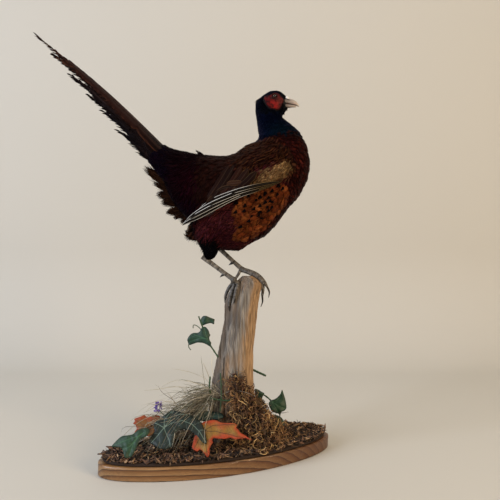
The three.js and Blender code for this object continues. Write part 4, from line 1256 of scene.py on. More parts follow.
TAIL_FEATHER = plumage("feather_tail_quill_satin", "#a08070", 0.05, 0.46, 130, bump=0.3, streak="#2a1c18")
for pair in range(len(TAIL_PAIRS)):
    points, faces, places = tail_feather(pair)
    for side, points, faces in both_sides(points, faces):
        piece = make_piece(f"rectrix_{pair + 1}_{side}", points, faces, "tail_feathers",
                           (f"tail_{pair + 1}_{side}",))
        length = places[:, 1] * TAIL_PAIRS[pair][0]
        bars = np.clip(np.sin(length / 13 * math.tau) * 2 - 1, 0, 1) * 0.35
        near_rump = smooth_step(90, 10, length)[:, None]
        tint = colour(TAIL_TINTS[pair]) * (1 - bars)[:, None] * (0.75 + 0.5 * (places[:, [1]] ** 0.7))
        tint = tint * (1 - near_rump) + colour("#0e0606") * near_rump
        dress(
            piece, TAIL_FEATHER,
            Tint=tint,
            Edge=colour("#5c3420" if pair < 2 else "#181418"),
            Marks=(0.6, 0.8, 0.0),
        )
        add_map(piece, "Vane", places)
        add_map(piece, "OFBake", 0.01 + 0.98 * places)

# %% Loose barbs along the tail
barb_starts, barb_heads, barb_lengths, barb_pairs = [], [], [], []
for pair, (outer, _) in enumerate(tail_grids):
    number = int(TAIL_PAIRS[pair][0] * 0.34)
    for _ in range(number):
        row = int(draw.uniform(0.2, 0.985) * TAIL_ROWS)
        lower = draw.random() < (0.75 if pair else 0.55)
        column = TAIL_COLUMNS - 1 if lower else 0
        if not lower and pair == 0 and row < TAIL_ROWS * 0.5:
            continue
        spread = draw.uniform(0.08, 0.36)
        heading = tail_along - tail_up * (spread if lower else -spread * 0.5)
        heading = heading + np.array([0, -0.15 * draw.random(), 0])
        inward = outer[row, column] * 0.75 + outer[row, TAIL_COLUMNS // 2] * 0.25
        barb_starts.append(inward)
        barb_heads.append(heading)
        barb_lengths.append(draw.uniform(8, 19) * (1 - 0.35 * row / TAIL_ROWS))
        barb_pairs.append(pair)
barb_starts, barb_heads = np.array(barb_starts), unit(np.array(barb_heads))
barb_lengths, barb_pairs = np.array(barb_lengths), np.array(barb_pairs)
rows_at = shape_rows("lock")
sag = -tail_up * 0.12
barb_spines = barb_starts[:, None] + (barb_heads * barb_lengths[:, None])[:, None] * rows_at[None, :, None]
barb_spines = barb_spines + sag * (rows_at ** 2)[None, :, None] * barb_lengths[:, None, None]
barb_ups = np.tile(np.array([0.0, -1.0, 0.15]), (len(barb_starts), len(rows_at), 1))
points, faces, places, owners = vanes("lock", barb_spines, barb_ups,
                                      draw.uniform(1.2, 2.6, len(barb_starts)))
for side, put_points, put_faces in both_sides(points, faces):
    piece = make_piece(f"tail_loose_barbs_{side}", put_points, put_faces, "tail_feathers")
    tints = colours(TAIL_TINTS)[barb_pairs] * draw.uniform(0.6, 1.1, (len(barb_pairs), 1))
    add_colours(piece, "Tint", tints[owners])
    add_colours(piece, "Edge", colour("#181010"))
    add_colours(piece, "Marks", (0.3, 0.0, 0.0))
    add_map(piece, "Vane", places)
    root_places = np.stack([barb_lengths * 0 + barb_pairs / 6, barb_starts @ tail_along / 400], -1)
    add_patches(piece, root_places, places, owners)
    piece.data.materials.append(TAIL_FEATHER)
print("loose barbs on each side:", len(barb_starts))

# %% [markdown]
# ## Bare parts of the head
# Round each eye is a wattle, bare red skin covered with small papillae. The glass eye sits in a
# lid of the same skin. The bill is horn, pale and a little hooked, with a soft flap over each
# nostril, whose near-white tint is a painted highlight. Papillae are real relief, since they
# catch the light one by one.

# %% Skin, scale and horn finish
def skin_material(name, texture_size, bump, **values):
    """Material that takes its colour from the Tint of its points, with a fine grain."""
    made, tree, shader = new_material(name, **values)
    tint = put(tree, "Attribute", attribute_name="Tint")
    grain = put(tree, "TexNoise", {
        0: put(tree, "TexCoord").outputs["Object"], "Scale": 1 / (texture_size * MM), "Detail": 4.0,
    })
    shade = put(tree, "MapRange", {0: grain, 1: 0.3, 2: 0.7, 3: 0.75, 4: 1.2})
    mixed = put(tree, "VectorMath", {0: tint.outputs["Color"], "Scale": shade}, operation="SCALE")
    tree.links.new(mixed.outputs[0], shader.inputs["Base Color"])
    relief = put(tree, "Bump", {"Height": grain, "Strength": bump, "Distance": texture_size * MM * 0.3})
    tree.links.new(relief.outputs[0], shader.inputs["Normal"])
    return made


# %% Wattle
PAPILLA = 1.25
LID_RADIUS = 4.3
FACE_RAY = 60  # from the midline, well outside the face
WATTLE_RINGS = 34
WATTLE_SPOKES = 168
face_form = shape_tree(*node_shape(["head", "wattle_right", "eye_right", "neck"]))


def wattle_shape():
    outline = smooth_rows(WATTLE + [WATTLE[0]], 400)
    spokes = np.linspace(0, math.tau, WATTLE_SPOKES, endpoint=False)
    from_eye = outline - EYE_CENTRE[[0, 2]]
    bearing = np.arctan2(from_eye[:, 1], from_eye[:, 0]) % math.tau
    order = np.argsort(bearing)
    reach = np.interp(spokes, bearing[order], np.linalg.norm(from_eye, axis=1)[order], period=math.tau)
    shares = np.linspace(0, 1, WATTLE_RINGS)
    span = LID_RADIUS + (reach[None, :] - LID_RADIUS) * shares[:, None]
    x = EYE_CENTRE[0] + span * np.cos(spokes)
    z = EYE_CENTRE[2] + span * np.sin(spokes)
    y = np.zeros_like(x)
    for i in range(WATTLE_RINGS):
        for j in range(WATTLE_SPOKES):
            hit = face_form.ray_cast(Vector((x[i, j], MIDLINE - FACE_RAY, z[i, j])), Vector((0, 1, 0)))
            y[i, j] = hit[0].y if hit[0] is not None else MIDLINE - 8
    for _ in range(6):
        rolled = (np.roll(y, 1, axis=1) + np.roll(y, -1, axis=1)) / 2
        y = (y + rolled) / 2
        y[1:-1] = (y[1:-1] * 2 + y[:-2] + y[2:]) / 4
    grains = np.array([
        (EYE_CENTRE[0] + PAPILLA * (i + 0.5 * (j % 2)), EYE_CENTRE[2] + PAPILLA * 0.87 * j)
        for i in range(-24, 24) for j in range(-30, 14)
    ])
    grains += draw.normal(size=grains.shape) * PAPILLA * 0.16
    away = np.full(x.shape, 9.0)
    for gx, gz in grains:
        away = np.minimum(away, (x - gx) ** 2 + (z - gz) ** 2)
    grain = np.clip(1 - away / (PAPILLA * 0.62) ** 2, 0, 1)
    edge = smooth_step(1, 0.9, shares)[:, None]
    lid = np.exp(-((span - LID_RADIUS - 1.0) / 0.8) ** 2)
    height = 0.55 * grain * edge * (1 - lid) + 1.1 * lid + 0.5 * edge - 1.0 * (1 - edge)
    y = y - height
    return np.stack([x, y, z], -1), grain, lid, shares


wattle_grid, papillae, lid_share, wattle_shares = wattle_shape()
lining = wattle_grid.copy()
lining[..., 1] += 2.2
wattle_points = np.concatenate([wattle_grid.reshape(-1, 3), lining.reshape(-1, 3)])
grid_count = WATTLE_RINGS * WATTLE_SPOKES
front_faces = grid_faces(WATTLE_RINGS, WATTLE_SPOKES)
back_faces = front_faces[:, ::-1] + grid_count
around = np.arange(WATTLE_SPOKES)
following = (around + 1) % WATTLE_SPOKES
last_ring = (WATTLE_RINGS - 1) * WATTLE_SPOKES
rim = np.stack([last_ring + around, last_ring + following, last_ring + following + grid_count,
                last_ring + around + grid_count], -1)
inner_rim = np.stack([following, around, around + grid_count, following + grid_count], -1)
wattle_faces = np.concatenate([front_faces, back_faces, rim, inner_rim])
flat_place = wattle_grid.reshape(-1, 3)
# Painted shade: the skin between the papillae is near black and only their tops are red.
red = blend(colour("#1e0305"), colour("#6a1112"), papillae.ravel())
# Painted light: a pool of brighter red on the lower middle of the wattle, strongest on the papillae.
lit = smooth_step(13, 3, np.hypot(flat_place[:, 0] - 103, flat_place[:, 2] - 670))
red = blend(red, colour("#9c1a1a"), lit * (0.3 + 0.5 * papillae.ravel()))
patchy = np.clip(0.12 + 0.6 * ripple(flat_place, 7, 51) + 0.5 * ripple(flat_place, 3.0, 52), 0, 1)
red = blend(red, colour("#140304"), patchy * 0.95)
# Painted shade: a dark patch just under the eye.
under_eye = np.exp(-((flat_place[:, 0] - 102) / 7) ** 2 - ((flat_place[:, 2] - 680.5) / 2.4) ** 2)
red = blend(red, colour("#120405"), under_eye * 0.8)
upper_rim = smooth_step(7.5, 10, np.abs(flat_place[:, 0] - 103.6)) * smooth_step(682, 686, flat_place[:, 2])
red = blend(red, colour("#1c0406"), upper_rim * 0.5)
dark_edge = np.repeat(smooth_step(0.85, 1, wattle_shares), WATTLE_SPOKES)
red = blend(red, colour("#160406"), dark_edge)
red = blend(red, colour("#1c0809"), lid_share.ravel() * 0.8)
wattle_skin = skin_material("wattle_skin_papillae", 0.5, 0.4, Roughness=0.5, Specular_IOR_Level=0.12)
for side, put_points, put_faces in both_sides(wattle_points, wattle_faces):
    piece = make_piece(f"wattle_papillae_{side}", put_points, put_faces, "wattle_skin", (f"wattle_{side}",))
    dress(piece, wattle_skin, Tint=np.vstack([red, red]))
print("wattle triangles on each side:", len(wattle_faces) * 2)

# %% Glass eyes
IRIS_ANGLE = 0.98
PUPIL_ANGLE = 0.6
EYE_TURN = np.array([0.28, -1.0, 0.05])
eye_glass, eye_tree, eye_shader = new_material(
    "eye_glass_amber", Roughness=0.08, IOR=1.45, Coat_Weight=0.3, Coat_Roughness=0.02
)
eye_tint = put(eye_tree, "Attribute", attribute_name="Tint")
eye_tree.links.new(eye_tint.outputs["Color"], eye_shader.inputs["Base Color"])
polar = np.linspace(0.0, math.pi, 64)[1:-1]
turns = np.arange(96) / 96 * math.tau
axis = unit(EYE_TURN)
eye_across = unit(np.cross(axis, (0, 0, 1)))
eye_lift = np.cross(axis, eye_across)
eye_out = np.cos(turns)[:, None] * eye_across + np.sin(turns)[:, None] * eye_lift
eye_ball = np.cos(polar)[:, None, None] * axis + np.sin(polar)[:, None, None] * eye_out
eye_place = np.array([EYE_CENTRE[0], MIDLINE - EYE_OUT, EYE_CENTRE[2]])
eye_points, eye_faces = closed_tube(eye_place + eye_ball * EYE_RADIUS)
from_axis = np.append(np.repeat(polar, 96), [0.0, math.pi])
rays = np.append(np.tile(turns, len(polar)), [0, 0])
iris = blend(colour("#3c200c"), colour("#6a4018"), 0.5 + 0.5 * np.sin(rays * 31))
iris = blend(iris, colour("#2a1408"), smooth_step(0.85, 0.98, from_axis))
eye_colours = np.where((from_axis < PUPIL_ANGLE)[:, None], colour("#050404"), iris)
eye_colours = np.where((from_axis > IRIS_ANGLE)[:, None], colour("#1c0c08"), eye_colours)
for side, put_points, put_faces in both_sides(eye_points, eye_faces):
    piece = make_piece(f"eye_ball_{side}", put_points, put_faces, "eye_glass", (f"eye_{side}",))
    dress(piece, eye_glass, Tint=eye_colours)

# %% Bill
BILL_UPPER = [
    (124, 687, 119, 675, 6.2, 0.6), (131, 685.8, 127, 675, 6, 0.6),
    (138, 684.3, 136, 673.8, 5.4, 0.6), (144.5, 681, 143, 672.6, 4.2, 0.6),
    (149, 676, 148, 670.8, 2.6, 0.6), (151.3, 671.2, 150.8, 669, 1, 0.6),
]
BILL_LOWER = [
    (118, 675, 120, 668, 5.6, 0.4), (128, 674.8, 129, 668.4, 5, 0.4),
    (137, 673.8, 137.5, 668.8, 4, 0.4), (145, 672.2, 145.5, 669.2, 2.2, 0.4),
]


def bill_rings(stations, sides, rows):
    """Egg-shaped rings between the ridge and the under edge of the bill."""
    line = smooth_rows(stations, rows)
    angle = np.arange(sides) / sides * math.tau
    down = np.cos(angle)
    back, belly = line[:, None, :2], line[:, None, 2:4]
    widest = line[:, [5]]
    share = np.where(down > 0, widest * (1 - down), widest - (1 - widest) * down)
    spot = back + (belly - back) * share[..., None]
    y = MIDLINE + line[:, [4]] * np.sin(angle)
    return np.stack([spot[..., 0], y, spot[..., 1]], -1)


bill_horn = skin_material("bill_horn_pale", 1.2, 0.12, Roughness=0.32, Subsurface_Weight=0.05)
upper = bill_rings(BILL_UPPER, 36, 34)
upper[..., 1] = MIDLINE + (upper[..., 1] - MIDLINE) * 0.99
lower = bill_rings(BILL_LOWER, 28, 26)
lower[..., 2] -= 0.3
for label, rings in (("upper", upper), ("lower", lower)):
    points, faces = closed_tube(rings)
    piece = make_piece(f"bill_{label}_horn", points, faces, "bill_horn", (f"bill_{label}",))
    toward_tip = smooth_step(124, 150, points[:, 0])
    tint = blend(colour("#857b74"), colour("#b8aa9c"), toward_tip)
    gape_line = np.interp(points[:, 0], (118, 126.7, 136.5, 145.5), (677, 676, 674, 672.4))
    gape = np.exp(-((points[:, 2] - gape_line) / 0.8) ** 2)
    tint = blend(tint, colour("#241814"), gape * 0.85 * smooth_step(150, 142, points[:, 0]))
    if label == "upper":
        ridge = smooth_step(2.6, 0.4, np.abs(points[:, 1] - MIDLINE)) * smooth_step(676, 684, points[:, 2])
        tint = blend(tint, colour("#564c46"), ridge * 0.6)
    dress(piece, bill_horn, Tint=tint)


def blob(centre, radii, pitch, sides=20, rows=12):
    """Ellipsoid turned about the axis across the bird."""
    polar_rows = np.linspace(0, math.pi, rows + 2)[1:-1]
    around_it = np.arange(sides) / sides * math.tau
    x = np.cos(polar_rows)[:, None] * radii[0] * np.ones(sides)
    y = np.sin(polar_rows)[:, None] * radii[1] * np.cos(around_it)
    z = np.sin(polar_rows)[:, None] * radii[2] * np.sin(around_it)
    turned_x = x * math.cos(pitch) - z * math.sin(pitch)
    turned_z = x * math.sin(pitch) + z * math.cos(pitch)
    return np.stack([turned_x, y, turned_z], -1) + np.array(centre)


flaps = []
slits = []
for sign in (-1, 1):
    flaps.append(closed_tube(blob((128.2, MIDLINE + sign * 6.2, 685.6), (3.6, 2.0, 2.3), -0.5)))
    slits.append(closed_tube(blob((130.6, MIDLINE + sign * 5.7, 682.0), (2.8, 0.8, 0.7), -0.35)))
# The near-white tint of the nostril flaps is a painted highlight on real flaps.
for label, shapes, shade in (("nostril_flaps_painted_highlight", flaps, "#f2ece2"), ("nostril_slits", slits, "#1c1614")):
    points, faces = joined(shapes)
    piece = make_piece(label, points, faces, "bill_horn")
    dress(piece, bill_horn, Tint=colour(shade))

# %% [markdown]
# ## Legs and feet
# A pheasant's shank has a column of broad overlapping scutes down its front and small six-sided
# scales behind. Toes carry a scute for every few millimetres and end in a curved claw. The scutes
# are steps in the radius of the leg, which is how they overlap in life.

# %% Legs
LEGS = {
    "right": [
        (-33, -7, 383, 5), (-24, -6.5, 376, 4.7), (-6, -5, 362.5, 4.2), (12, -4, 349, 4.2),
        (25, -4, 340, 4.8),
    ],
    "left": [
        (-15, 34, 409, 5), (-6, 33, 401, 4.7), (10, 31, 386, 4.2), (28, 28, 369.5, 4.2),
        (40, 26.4, 359, 4.8),
    ],
}
SCUTE = 3.6
SPUR_LENGTH = 9.5


def path_lengths(path):
    return np.concatenate([[0], np.cumsum(np.linalg.norm(np.diff(path, axis=0), axis=1))])


def scaled_limb(rows, sides, scute, step, front=None):
    """Limb with overlapping scutes, and the shade of each point."""
    line = smooth_rows(rows, max(int(path_lengths(np.array(rows)[:, :3])[-1] / step), 12))
    path, radius = line[:, :3], line[:, 3]
    run = path_lengths(path)
    angles = np.arange(sides) / sides * math.tau
    saw = (run / scute) % 1.0
    forward = np.ones(sides) if front is None else smooth_step(-0.1, 0.5, np.cos(angles - front))
    step_up = (saw ** 2 * 0.09 - 0.04)[:, None] * forward[None, :]
    behind = (1 - forward)[None, :] * 0.05
    behind = behind * np.cos(run / 1.6 * math.tau)[:, None] * np.cos(angles * 9)[None, :]
    radii = radius[:, None] * (1 + step_up + behind)
    rings = tube(path, radii, sides)
    plate = np.floor(run / scute)[:, None]
    worn = 0.3 * np.sin(plate * 2.4) + 0.25 * np.sin(plate * 5.1 + 2 * np.cos(angles)[None, :])
    shade = np.clip(0.55 + 0.6 * (0.7 - saw[:, None]) * forward[None, :] + worn + behind * 6, 0.05, 1.1)
    return rings, shade


leg_scales = skin_material("leg_scales_dry", 0.9, 0.25, Roughness=0.45)
claw_horn = skin_material("claw_horn_dark", 0.7, 0.15, Roughness=0.3)
LEG_PALE, LEG_DARK = "#8a847c", "#0c0a09"


def leg_tints(shade, points):
    grime = 0.5 + 0.5 * ripple(points, 9, 5)
    shade = shade * (0.55 + 0.6 * np.clip(0.5 + 0.9 * ripple(points, 4, 6), 0, 1))
    base = blend(colour(LEG_DARK), colour(LEG_PALE), np.clip(shade, 0, 1))
    return blend(base, colour("#5a4c40"), np.clip(grime, 0, 1) * 0.35)


for side, rows in LEGS.items():
    rings, shade = scaled_limb(rows, 40, SCUTE, 0.45, front=-math.pi / 2)
    points, faces = closed_tube(rings)
    piece = make_piece(f"shank_{side}", points, faces, "leg_scales", (f"tarsus_{side}",))
    dress(piece, leg_scales, Tint=leg_tints(np.append(shade.ravel(), [0.5, 0.5]), points))
    above, below = np.array(rows[2][:3], float), np.array(rows[3][:3], float)
    along = unit(below - above)
    behind = unit(np.array([along[2], 0, -along[0]]))
    root = above * 0.15 + below * 0.85
    spur_line = [root + unit(behind - along * 0.25) * (2.4 + SPUR_LENGTH * s) for s in (0, 0.35, 0.7, 1)]
    spur_line = smooth_rows([(*p, r) for p, r in zip(spur_line, (3.4, 2.4, 1.2, 0.3))], 18)
    spur_rings = tube(spur_line[:, :3], spur_line[:, 3], 16)
    points, faces = closed_tube(spur_rings)
    piece = make_piece(f"spur_horn_{side}", points, faces, "spur_horn", (f"spur_{side}",))
    dress(piece, claw_horn, Tint=colour("#17130f"))

# %% [markdown]
# ## Driftwood post
# The post is a split, weathered trunk: long grain furrows, a deep crack down its left and a tan
# side where the grey skin has worn off. Its rings follow the same stations as the frame, but lie
# less than two millimetres apart. Furrows come from a random height stretched along the grain.

# %% Post
POST = [
    # height, left, right, near, far
    (24.4, -34, 82, -27, 52), (60, -28, 76, -22, 48), (102, -20, 66, -19, 45),
    (145, -16, 64, -16, 43), (203, -3.5, 63, -13, 41), (261, 8, 70, -11, 39), (292, 9, 73, -10, 38),
    (310, 14.6, 76, -10, 38), (322, 20.5, 79, -9, 37), (329, 25, 79.5, -7, 35),
    (335, 31, 75.5, -4, 33), (340, 36, 70, 0, 30), (345, 42, 62, 6, 24),
]
POST_GROOVES = [(140, 9, 0.16), (112, 14, 0.05), (61, 8, -0.06), (230, 16, 0.09), (310, 18, 0.06)]
POST_SIDES = 240
POST_STEP = 1.8


def post_points(degrees, heights, out=0.0):
    """Points on the post's face: degrees round it (90 faces the front), height, distance from the wood."""
    table = np.array(POST, float)
    left, right, near, far = (np.interp(heights, table[:, 0], table[:, i]) for i in (1, 2, 3, 4))
    scale = np.ones_like(degrees * heights)
    for at, spread, depth in POST_GROOVES:
        away = (degrees - at + 180) % 360 - 180
        scale = scale - depth * np.exp(-(away / spread) ** 2)
    angle = np.radians(degrees)
    x = (left + right) / 2 + ((right - left) / 2 * scale + out) * np.cos(angle)
    y = (near + far) / 2 - ((far - near) / 2 * scale + out) * np.sin(angle)
    return np.stack([x, y, heights + 0 * x], -1)


post_heights = np.arange(POST[0][0], POST[-1][0], POST_STEP)[:, None]
post_degrees = (np.arange(POST_SIDES) / POST_SIDES * 360)[None, :]
post_grid = post_points(post_degrees, post_heights)
grain_place = post_grid * np.array([1, 1, 0.07])
furrow = ripple(grain_place, 7, 11)
fine = ripple(grain_place * np.array([1, 1, 0.6]), 2.0, 12, 40)
knots = ripple(post_grid, 45, 13)
CRACK_TOP = (312, 280)  # where the crack starts and where it is full
crack_line = np.interp(post_heights, [60, 145, 203, 250, 290], [107, 116, 136, 155, 170])
crack = np.clip(1 - np.abs((post_degrees - crack_line) / (2.6 + 0.8 * np.sin(post_heights / 13))), 0, 1)
crack = crack * smooth_step(*CRACK_TOP, post_heights)
ridge = np.exp(-((post_degrees - crack_line - 8) / 4.5) ** 2) * smooth_step(*CRACK_TOP, post_heights)
taper_out = smooth_step(345, 332, post_heights)
depth = (-1.3 * np.abs(furrow) + 0.28 * fine) * (0.4 + 0.6 * taper_out) - 5.5 * crack + 1.2 * ridge
middle = post_grid.mean(axis=1, keepdims=True)
outward = unit((post_grid - middle) * np.array([1, 1, 0]))
post_grid = post_grid + outward * depth[..., None]
post_grid[..., 2] += 1.2 * ripple(post_grid * 0.5, 12, 14) * smooth_step(322, 338, post_heights)
post_shape, post_faces = closed_tube(post_grid)
post_piece = make_piece("driftwood_grain", post_shape, post_faces, "driftwood", ("driftwood_post",))
from_middle = post_grid[..., 0] - middle[..., 0]
width_share = from_middle / np.abs(from_middle).max(axis=1, keepdims=True)
worn = smooth_step(0.16, 0.62, width_share + 0.16 * furrow + 0.16 * knots + 0.08 * fine)
stripe = np.exp(-((width_share + 0.34 + 0.05 * knots) / 0.13) ** 2) * smooth_step(215, 170, post_heights)
worn = np.clip(worn + stripe * 0.8, 0, 1)
blotch = ripple(grain_place * np.array([1, 1, 1.6]), 16, 15)
grey_depth = np.clip(0.45 + 0.6 * fine + 0.6 * blotch, 0, 1)
tan_depth = np.clip(0.4 + 0.6 * fine + 0.2 * blotch, 0, 1)
grey = blend(colour("#948b7f"), colour("#5c554e"), grey_depth)
tan = blend(colour("#b69470"), colour("#8a6b4a"), tan_depth)
grey = blend(grey, colour("#8a7560"), np.clip(0.9 * knots + 0.4 * blotch, 0, 0.55))
wood = blend(grey, tan, worn)
wood = blend(wood, colour("#58493c"), np.clip(np.abs(furrow) * 0.8 - 0.3, 0, 0.75))
wood = blend(wood, colour("#2c221c"), crack * 0.9)
wood = blend(wood, colour("#5c4a3a"), smooth_step(-0.55, -0.95, width_share) * 0.6)
tinted = np.vstack([wood.reshape(-1, 3), wood[0].mean(axis=0), wood[-1].mean(axis=0)])
add_colours(post_piece, "Tint", tinted)


def grain_material(name, bump, **values):
    """Wood whose colour is the points' Tint with fibres stretched along the height."""
    made, tree, shader = new_material(name, **values)
    place = put(tree, "Mapping", {0: put(tree, "TexCoord").outputs["Object"], "Scale": (1, 1, 0.06)})
    fibres = put(tree, "TexNoise", {0: place, "Scale": 900.0, "Detail": 5.0, "Roughness": 0.6})
    tint = put(tree, "Attribute", attribute_name="Tint")
    shade = put(tree, "MapRange", {0: fibres, 1: 0.3, 2: 0.7, 3: 0.68, 4: 1.22})
    mixed = put(tree, "VectorMath", {0: tint.outputs["Color"], "Scale": shade}, operation="SCALE")
    tree.links.new(mixed.outputs[0], shader.inputs["Base Color"])
    relief = put(tree, "Bump", {"Height": fibres, "Strength": bump, "Distance": 0.0012})
    tree.links.new(relief.outputs[0], shader.inputs["Normal"])
    return made


post_piece.data.materials.append(grain_material("driftwood_weathered_dry", 0.7, Roughness=0.85))
print("post triangles:", sum(len(group) for group in post_faces) * 2)

# %% [markdown]
# ## Feet
# The left foot grips the top of the post and lets its long middle toe hang over the edge. The
# right foot clings to the left flank of the wood a little lower. Toes are limbs with short
# scutes and claws are separate horn, set into the last joint.

# %% Toes and claws
TOES_LEFT = [
    [(42, 26, 357, 5), (51, 25.5, 354.5, 4.7), (65, 25, 349.8, 4.4), (75, 24, 343.6, 4.2),
     (84, 23, 333.8, 3.7),
     (90, 22, 324, 2.6), (94.3, 21.5, 314, 1.6), (93, 21, 303, 0.5)],
    [(42, 26, 357, 5), (50, 30, 353.5, 4.2), (64, 36, 345.5, 4), (76, 39, 334, 3.8), (82, 38, 318, 3.4),
     (81, 35, 306, 2.4), (81.5, 33, 294, 1.5), (78, 32, 283.5, 0.5)],
    [(42, 26, 357, 5), (49, 20, 353.5, 4), (60, 16, 349.6, 3.8), (70, 13, 344.8, 3.5), (78, 11, 338, 3),
     (83, 10, 330, 2), (84.5, 10, 321, 0.5)],
    [(42, 26, 357, 5), (37.5, 24, 354, 3.2), (34.5, 22, 348, 2.8), (30, 21, 341, 2), (26, 21, 335, 0.5)],
]
TOES_RIGHT_FOOT = (26, -5, 339)
TOES_RIGHT = [
    # degrees round the post, height, radius
    [(150, 332, 4.0), (146, 322, 3.6), (144, 310, 3.3), (143, 298, 3.0), (142, 289, 2.4), (142, 279, 0.5)],
    [(132, 331, 3.8), (124, 322, 3.4), (120, 311, 3.0), (118, 303, 2.4), (118, 294, 0.5)],
    [(172, 332, 3.8), (180, 322, 3.4), (184, 310, 3.0), (186, 302, 2.4), (187, 293, 0.5)],
]
CLAW_RADIUS = 2.7  # where a toe gives way to its claw
TOE_SCUTE = 2.4


def toe_parts(rows):
    """Rings and shade of a toe, and the rings of its claw."""
    rows = np.array(rows, float)
    first = int(np.argmax(rows[:, 3] < CLAW_RADIUS))
    toe_rows = rows[:first + 1].copy()
    toe_rows[-1, 3] = 2.5
    rings, shade = scaled_limb(toe_rows, 28, TOE_SCUTE, 0.4)
    claw_rows = rows[first:].copy()
    claw_rows[0, 3] = 2.1
    start = toe_rows[-1, :3] * 0.6 + toe_rows[-2, :3] * 0.4
    claw_rows = np.vstack([(*start, 2.0), claw_rows])
    line = smooth_rows(claw_rows, 22)
    claw = tube(line[:, :3], np.maximum(line[:, 3], 0.25), 18)
    return rings, shade, claw


right_rows = []
for toe in TOES_RIGHT:
    spots = [post_points(np.array(float(deg)), np.array(float(high)), r + 0.6) for deg, high, r in toe]
    right_rows.append([(*TOES_RIGHT_FOOT, 4.6)] + [(*spot, r) for spot, (_, _, r) in zip(spots, toe)])
FEET = (("left", TOES_LEFT, TOES_LEFT[0][0][:3]), ("right", right_rows, TOES_RIGHT_FOOT))
for side, toes, ball_place in FEET:
    limbs, shades, claws = [], [], []
    for rows in toes:
        rings, shade, claw = toe_parts(rows)
        limbs.append(closed_tube(rings))
        shades.append(np.append(shade.ravel(), [0.4, 0.4]))
        claws.append(closed_tube(claw))
    knuckle = blob(ball_place, (6.3, 6.2, 5.8), 0.0, 28, 18)
    limbs.append(closed_tube(knuckle))
    shades.append(np.full(len(limbs[-1][0]), 0.55))
    points, faces = joined(limbs)
    piece = make_piece(f"toes_{side}", points, faces, "leg_scales", (f"foot_{side}",))
    # Painted shade: the toes of the right foot are darker than those of the left.
    foot_shade = np.concatenate(shades) * (0.55 if side == "right" else 0.8)
    dress(piece, leg_scales, Tint=leg_tints(foot_shade, points))
    points, faces = joined(claws)
    piece = make_piece(f"claws_{side}", points, faces, "spur_horn")
    dress(piece, claw_horn, Tint=colour("#241c18"))

# %% [markdown]
# ## Pine slab
# The base is an oval cut of pine, oiled on its rim, with grain that runs the length of the slab.
# Rings of growth are cylinders in the wood, so a ring texture in space gives the right lines on
# every face without a seam.

# %% Slab
SLAB_LENGTH = 456
SLAB_DEPTH = 170
SLAB_THICKNESS = 24
SLAB_TURN = math.radians(21.8)
SLAB_SIDES = 480


def slab_ring(height, scale, sides=SLAB_SIDES):
    angle = np.arange(sides) / sides * math.tau
    front_left = np.maximum(np.cos(angle - 4), 0) ** 4
    back_right = np.maximum(np.sin(angle + 0.6), 0) ** 3
    uneven = 1 + 0.008 * np.sin(3 * angle + 1) - 0.03 * back_right - 0.09 * front_left
    x = SLAB_LENGTH / 2 * np.cos(angle) * uneven * scale
    y = SLAB_DEPTH / 2 * np.sin(angle) * uneven * scale
    turned_x = x * math.cos(SLAB_TURN) - y * math.sin(SLAB_TURN)
    turned_y = x * math.sin(SLAB_TURN) + y * math.cos(SLAB_TURN)
    return np.stack([turned_x, turned_y, np.full(sides, float(height))], -1)


slab_levels = [(0, 0.985), (0.4, 0.992), (1.6, 0.999)] + [(h, 1.0) for h in np.linspace(3, 19, 9)]
slab_levels += [(20.8, 0.9985), (22.2, 0.996), (23.3, 0.991), (23.9, 0.985), (SLAB_THICKNESS, 0.975)]
slab_rings = np.stack([slab_ring(h, s) for h, s in slab_levels])
rim_waves = ripple(slab_rings * np.array([1, 1, 0.5]), 30, 21) * 0.9 + ripple(slab_rings, 9, 22) * 0.12
slab_out = unit(slab_rings * np.array([1, 1, 0]))
rim_only = np.array([1.0 if 1 < h < 23 else 0.0 for h, _ in slab_levels])[:, None]
slab_rings = slab_rings + slab_out * (rim_waves * rim_only)[..., None]
slab_shape, slab_faces = closed_tube(slab_rings)
slab = make_piece("pine_slab_oiled", slab_shape, slab_faces, "pine_slab", ("base_slab",))
pine, pine_tree, pine_shader = new_material("pine_oiled_satin", Roughness=0.42, Coat_Weight=0.15)
pine_place = put(pine_tree, "Mapping", {
    0: put(pine_tree, "TexCoord").outputs["Object"], "Location": (0.05, 0.09, 0.055),
    "Rotation": (0.12, 0.05, -SLAB_TURN), "Scale": (0.14, 1, 1),
})
pine_bend = put(pine_tree, "TexNoise", {0: pine_place, "Scale": 16.0, "Detail": 3.0})
pine_sway = (0.012, 0.012, 0.012)
pine_shift = put(
    pine_tree, "VectorMath", {0: pine_bend.outputs["Color"], 1: pine_sway, 2: pine_place},
    operation="MULTIPLY_ADD",
)
rings = put(pine_tree, "TexWave", {0: pine_shift, "Scale": 32.0, "Distortion": 3.0, "Detail": 2.0},
            wave_type="RINGS", rings_direction="X", wave_profile="SAW")
fibre_place = put(pine_tree, "Mapping", {0: pine_place, "Scale": (0.25, 1, 1)})
pine_fibres = put(pine_tree, "TexNoise", {0: fibre_place, "Scale": 700.0, "Detail": 3.0})
RING_SHADES = [(0.0, "#9a754c"), (0.5, "#8a6238"), (0.85, "#6a431f"), (0.96, "#3a1e0c"), (1.0, "#2c160a")]
pine_colour = ramp(pine_tree, rings, RING_SHADES)
pine_light = put(pine_tree, "MapRange", {0: pine_fibres, 1: 0.3, 2: 0.7, 3: 0.78, 4: 1.16})
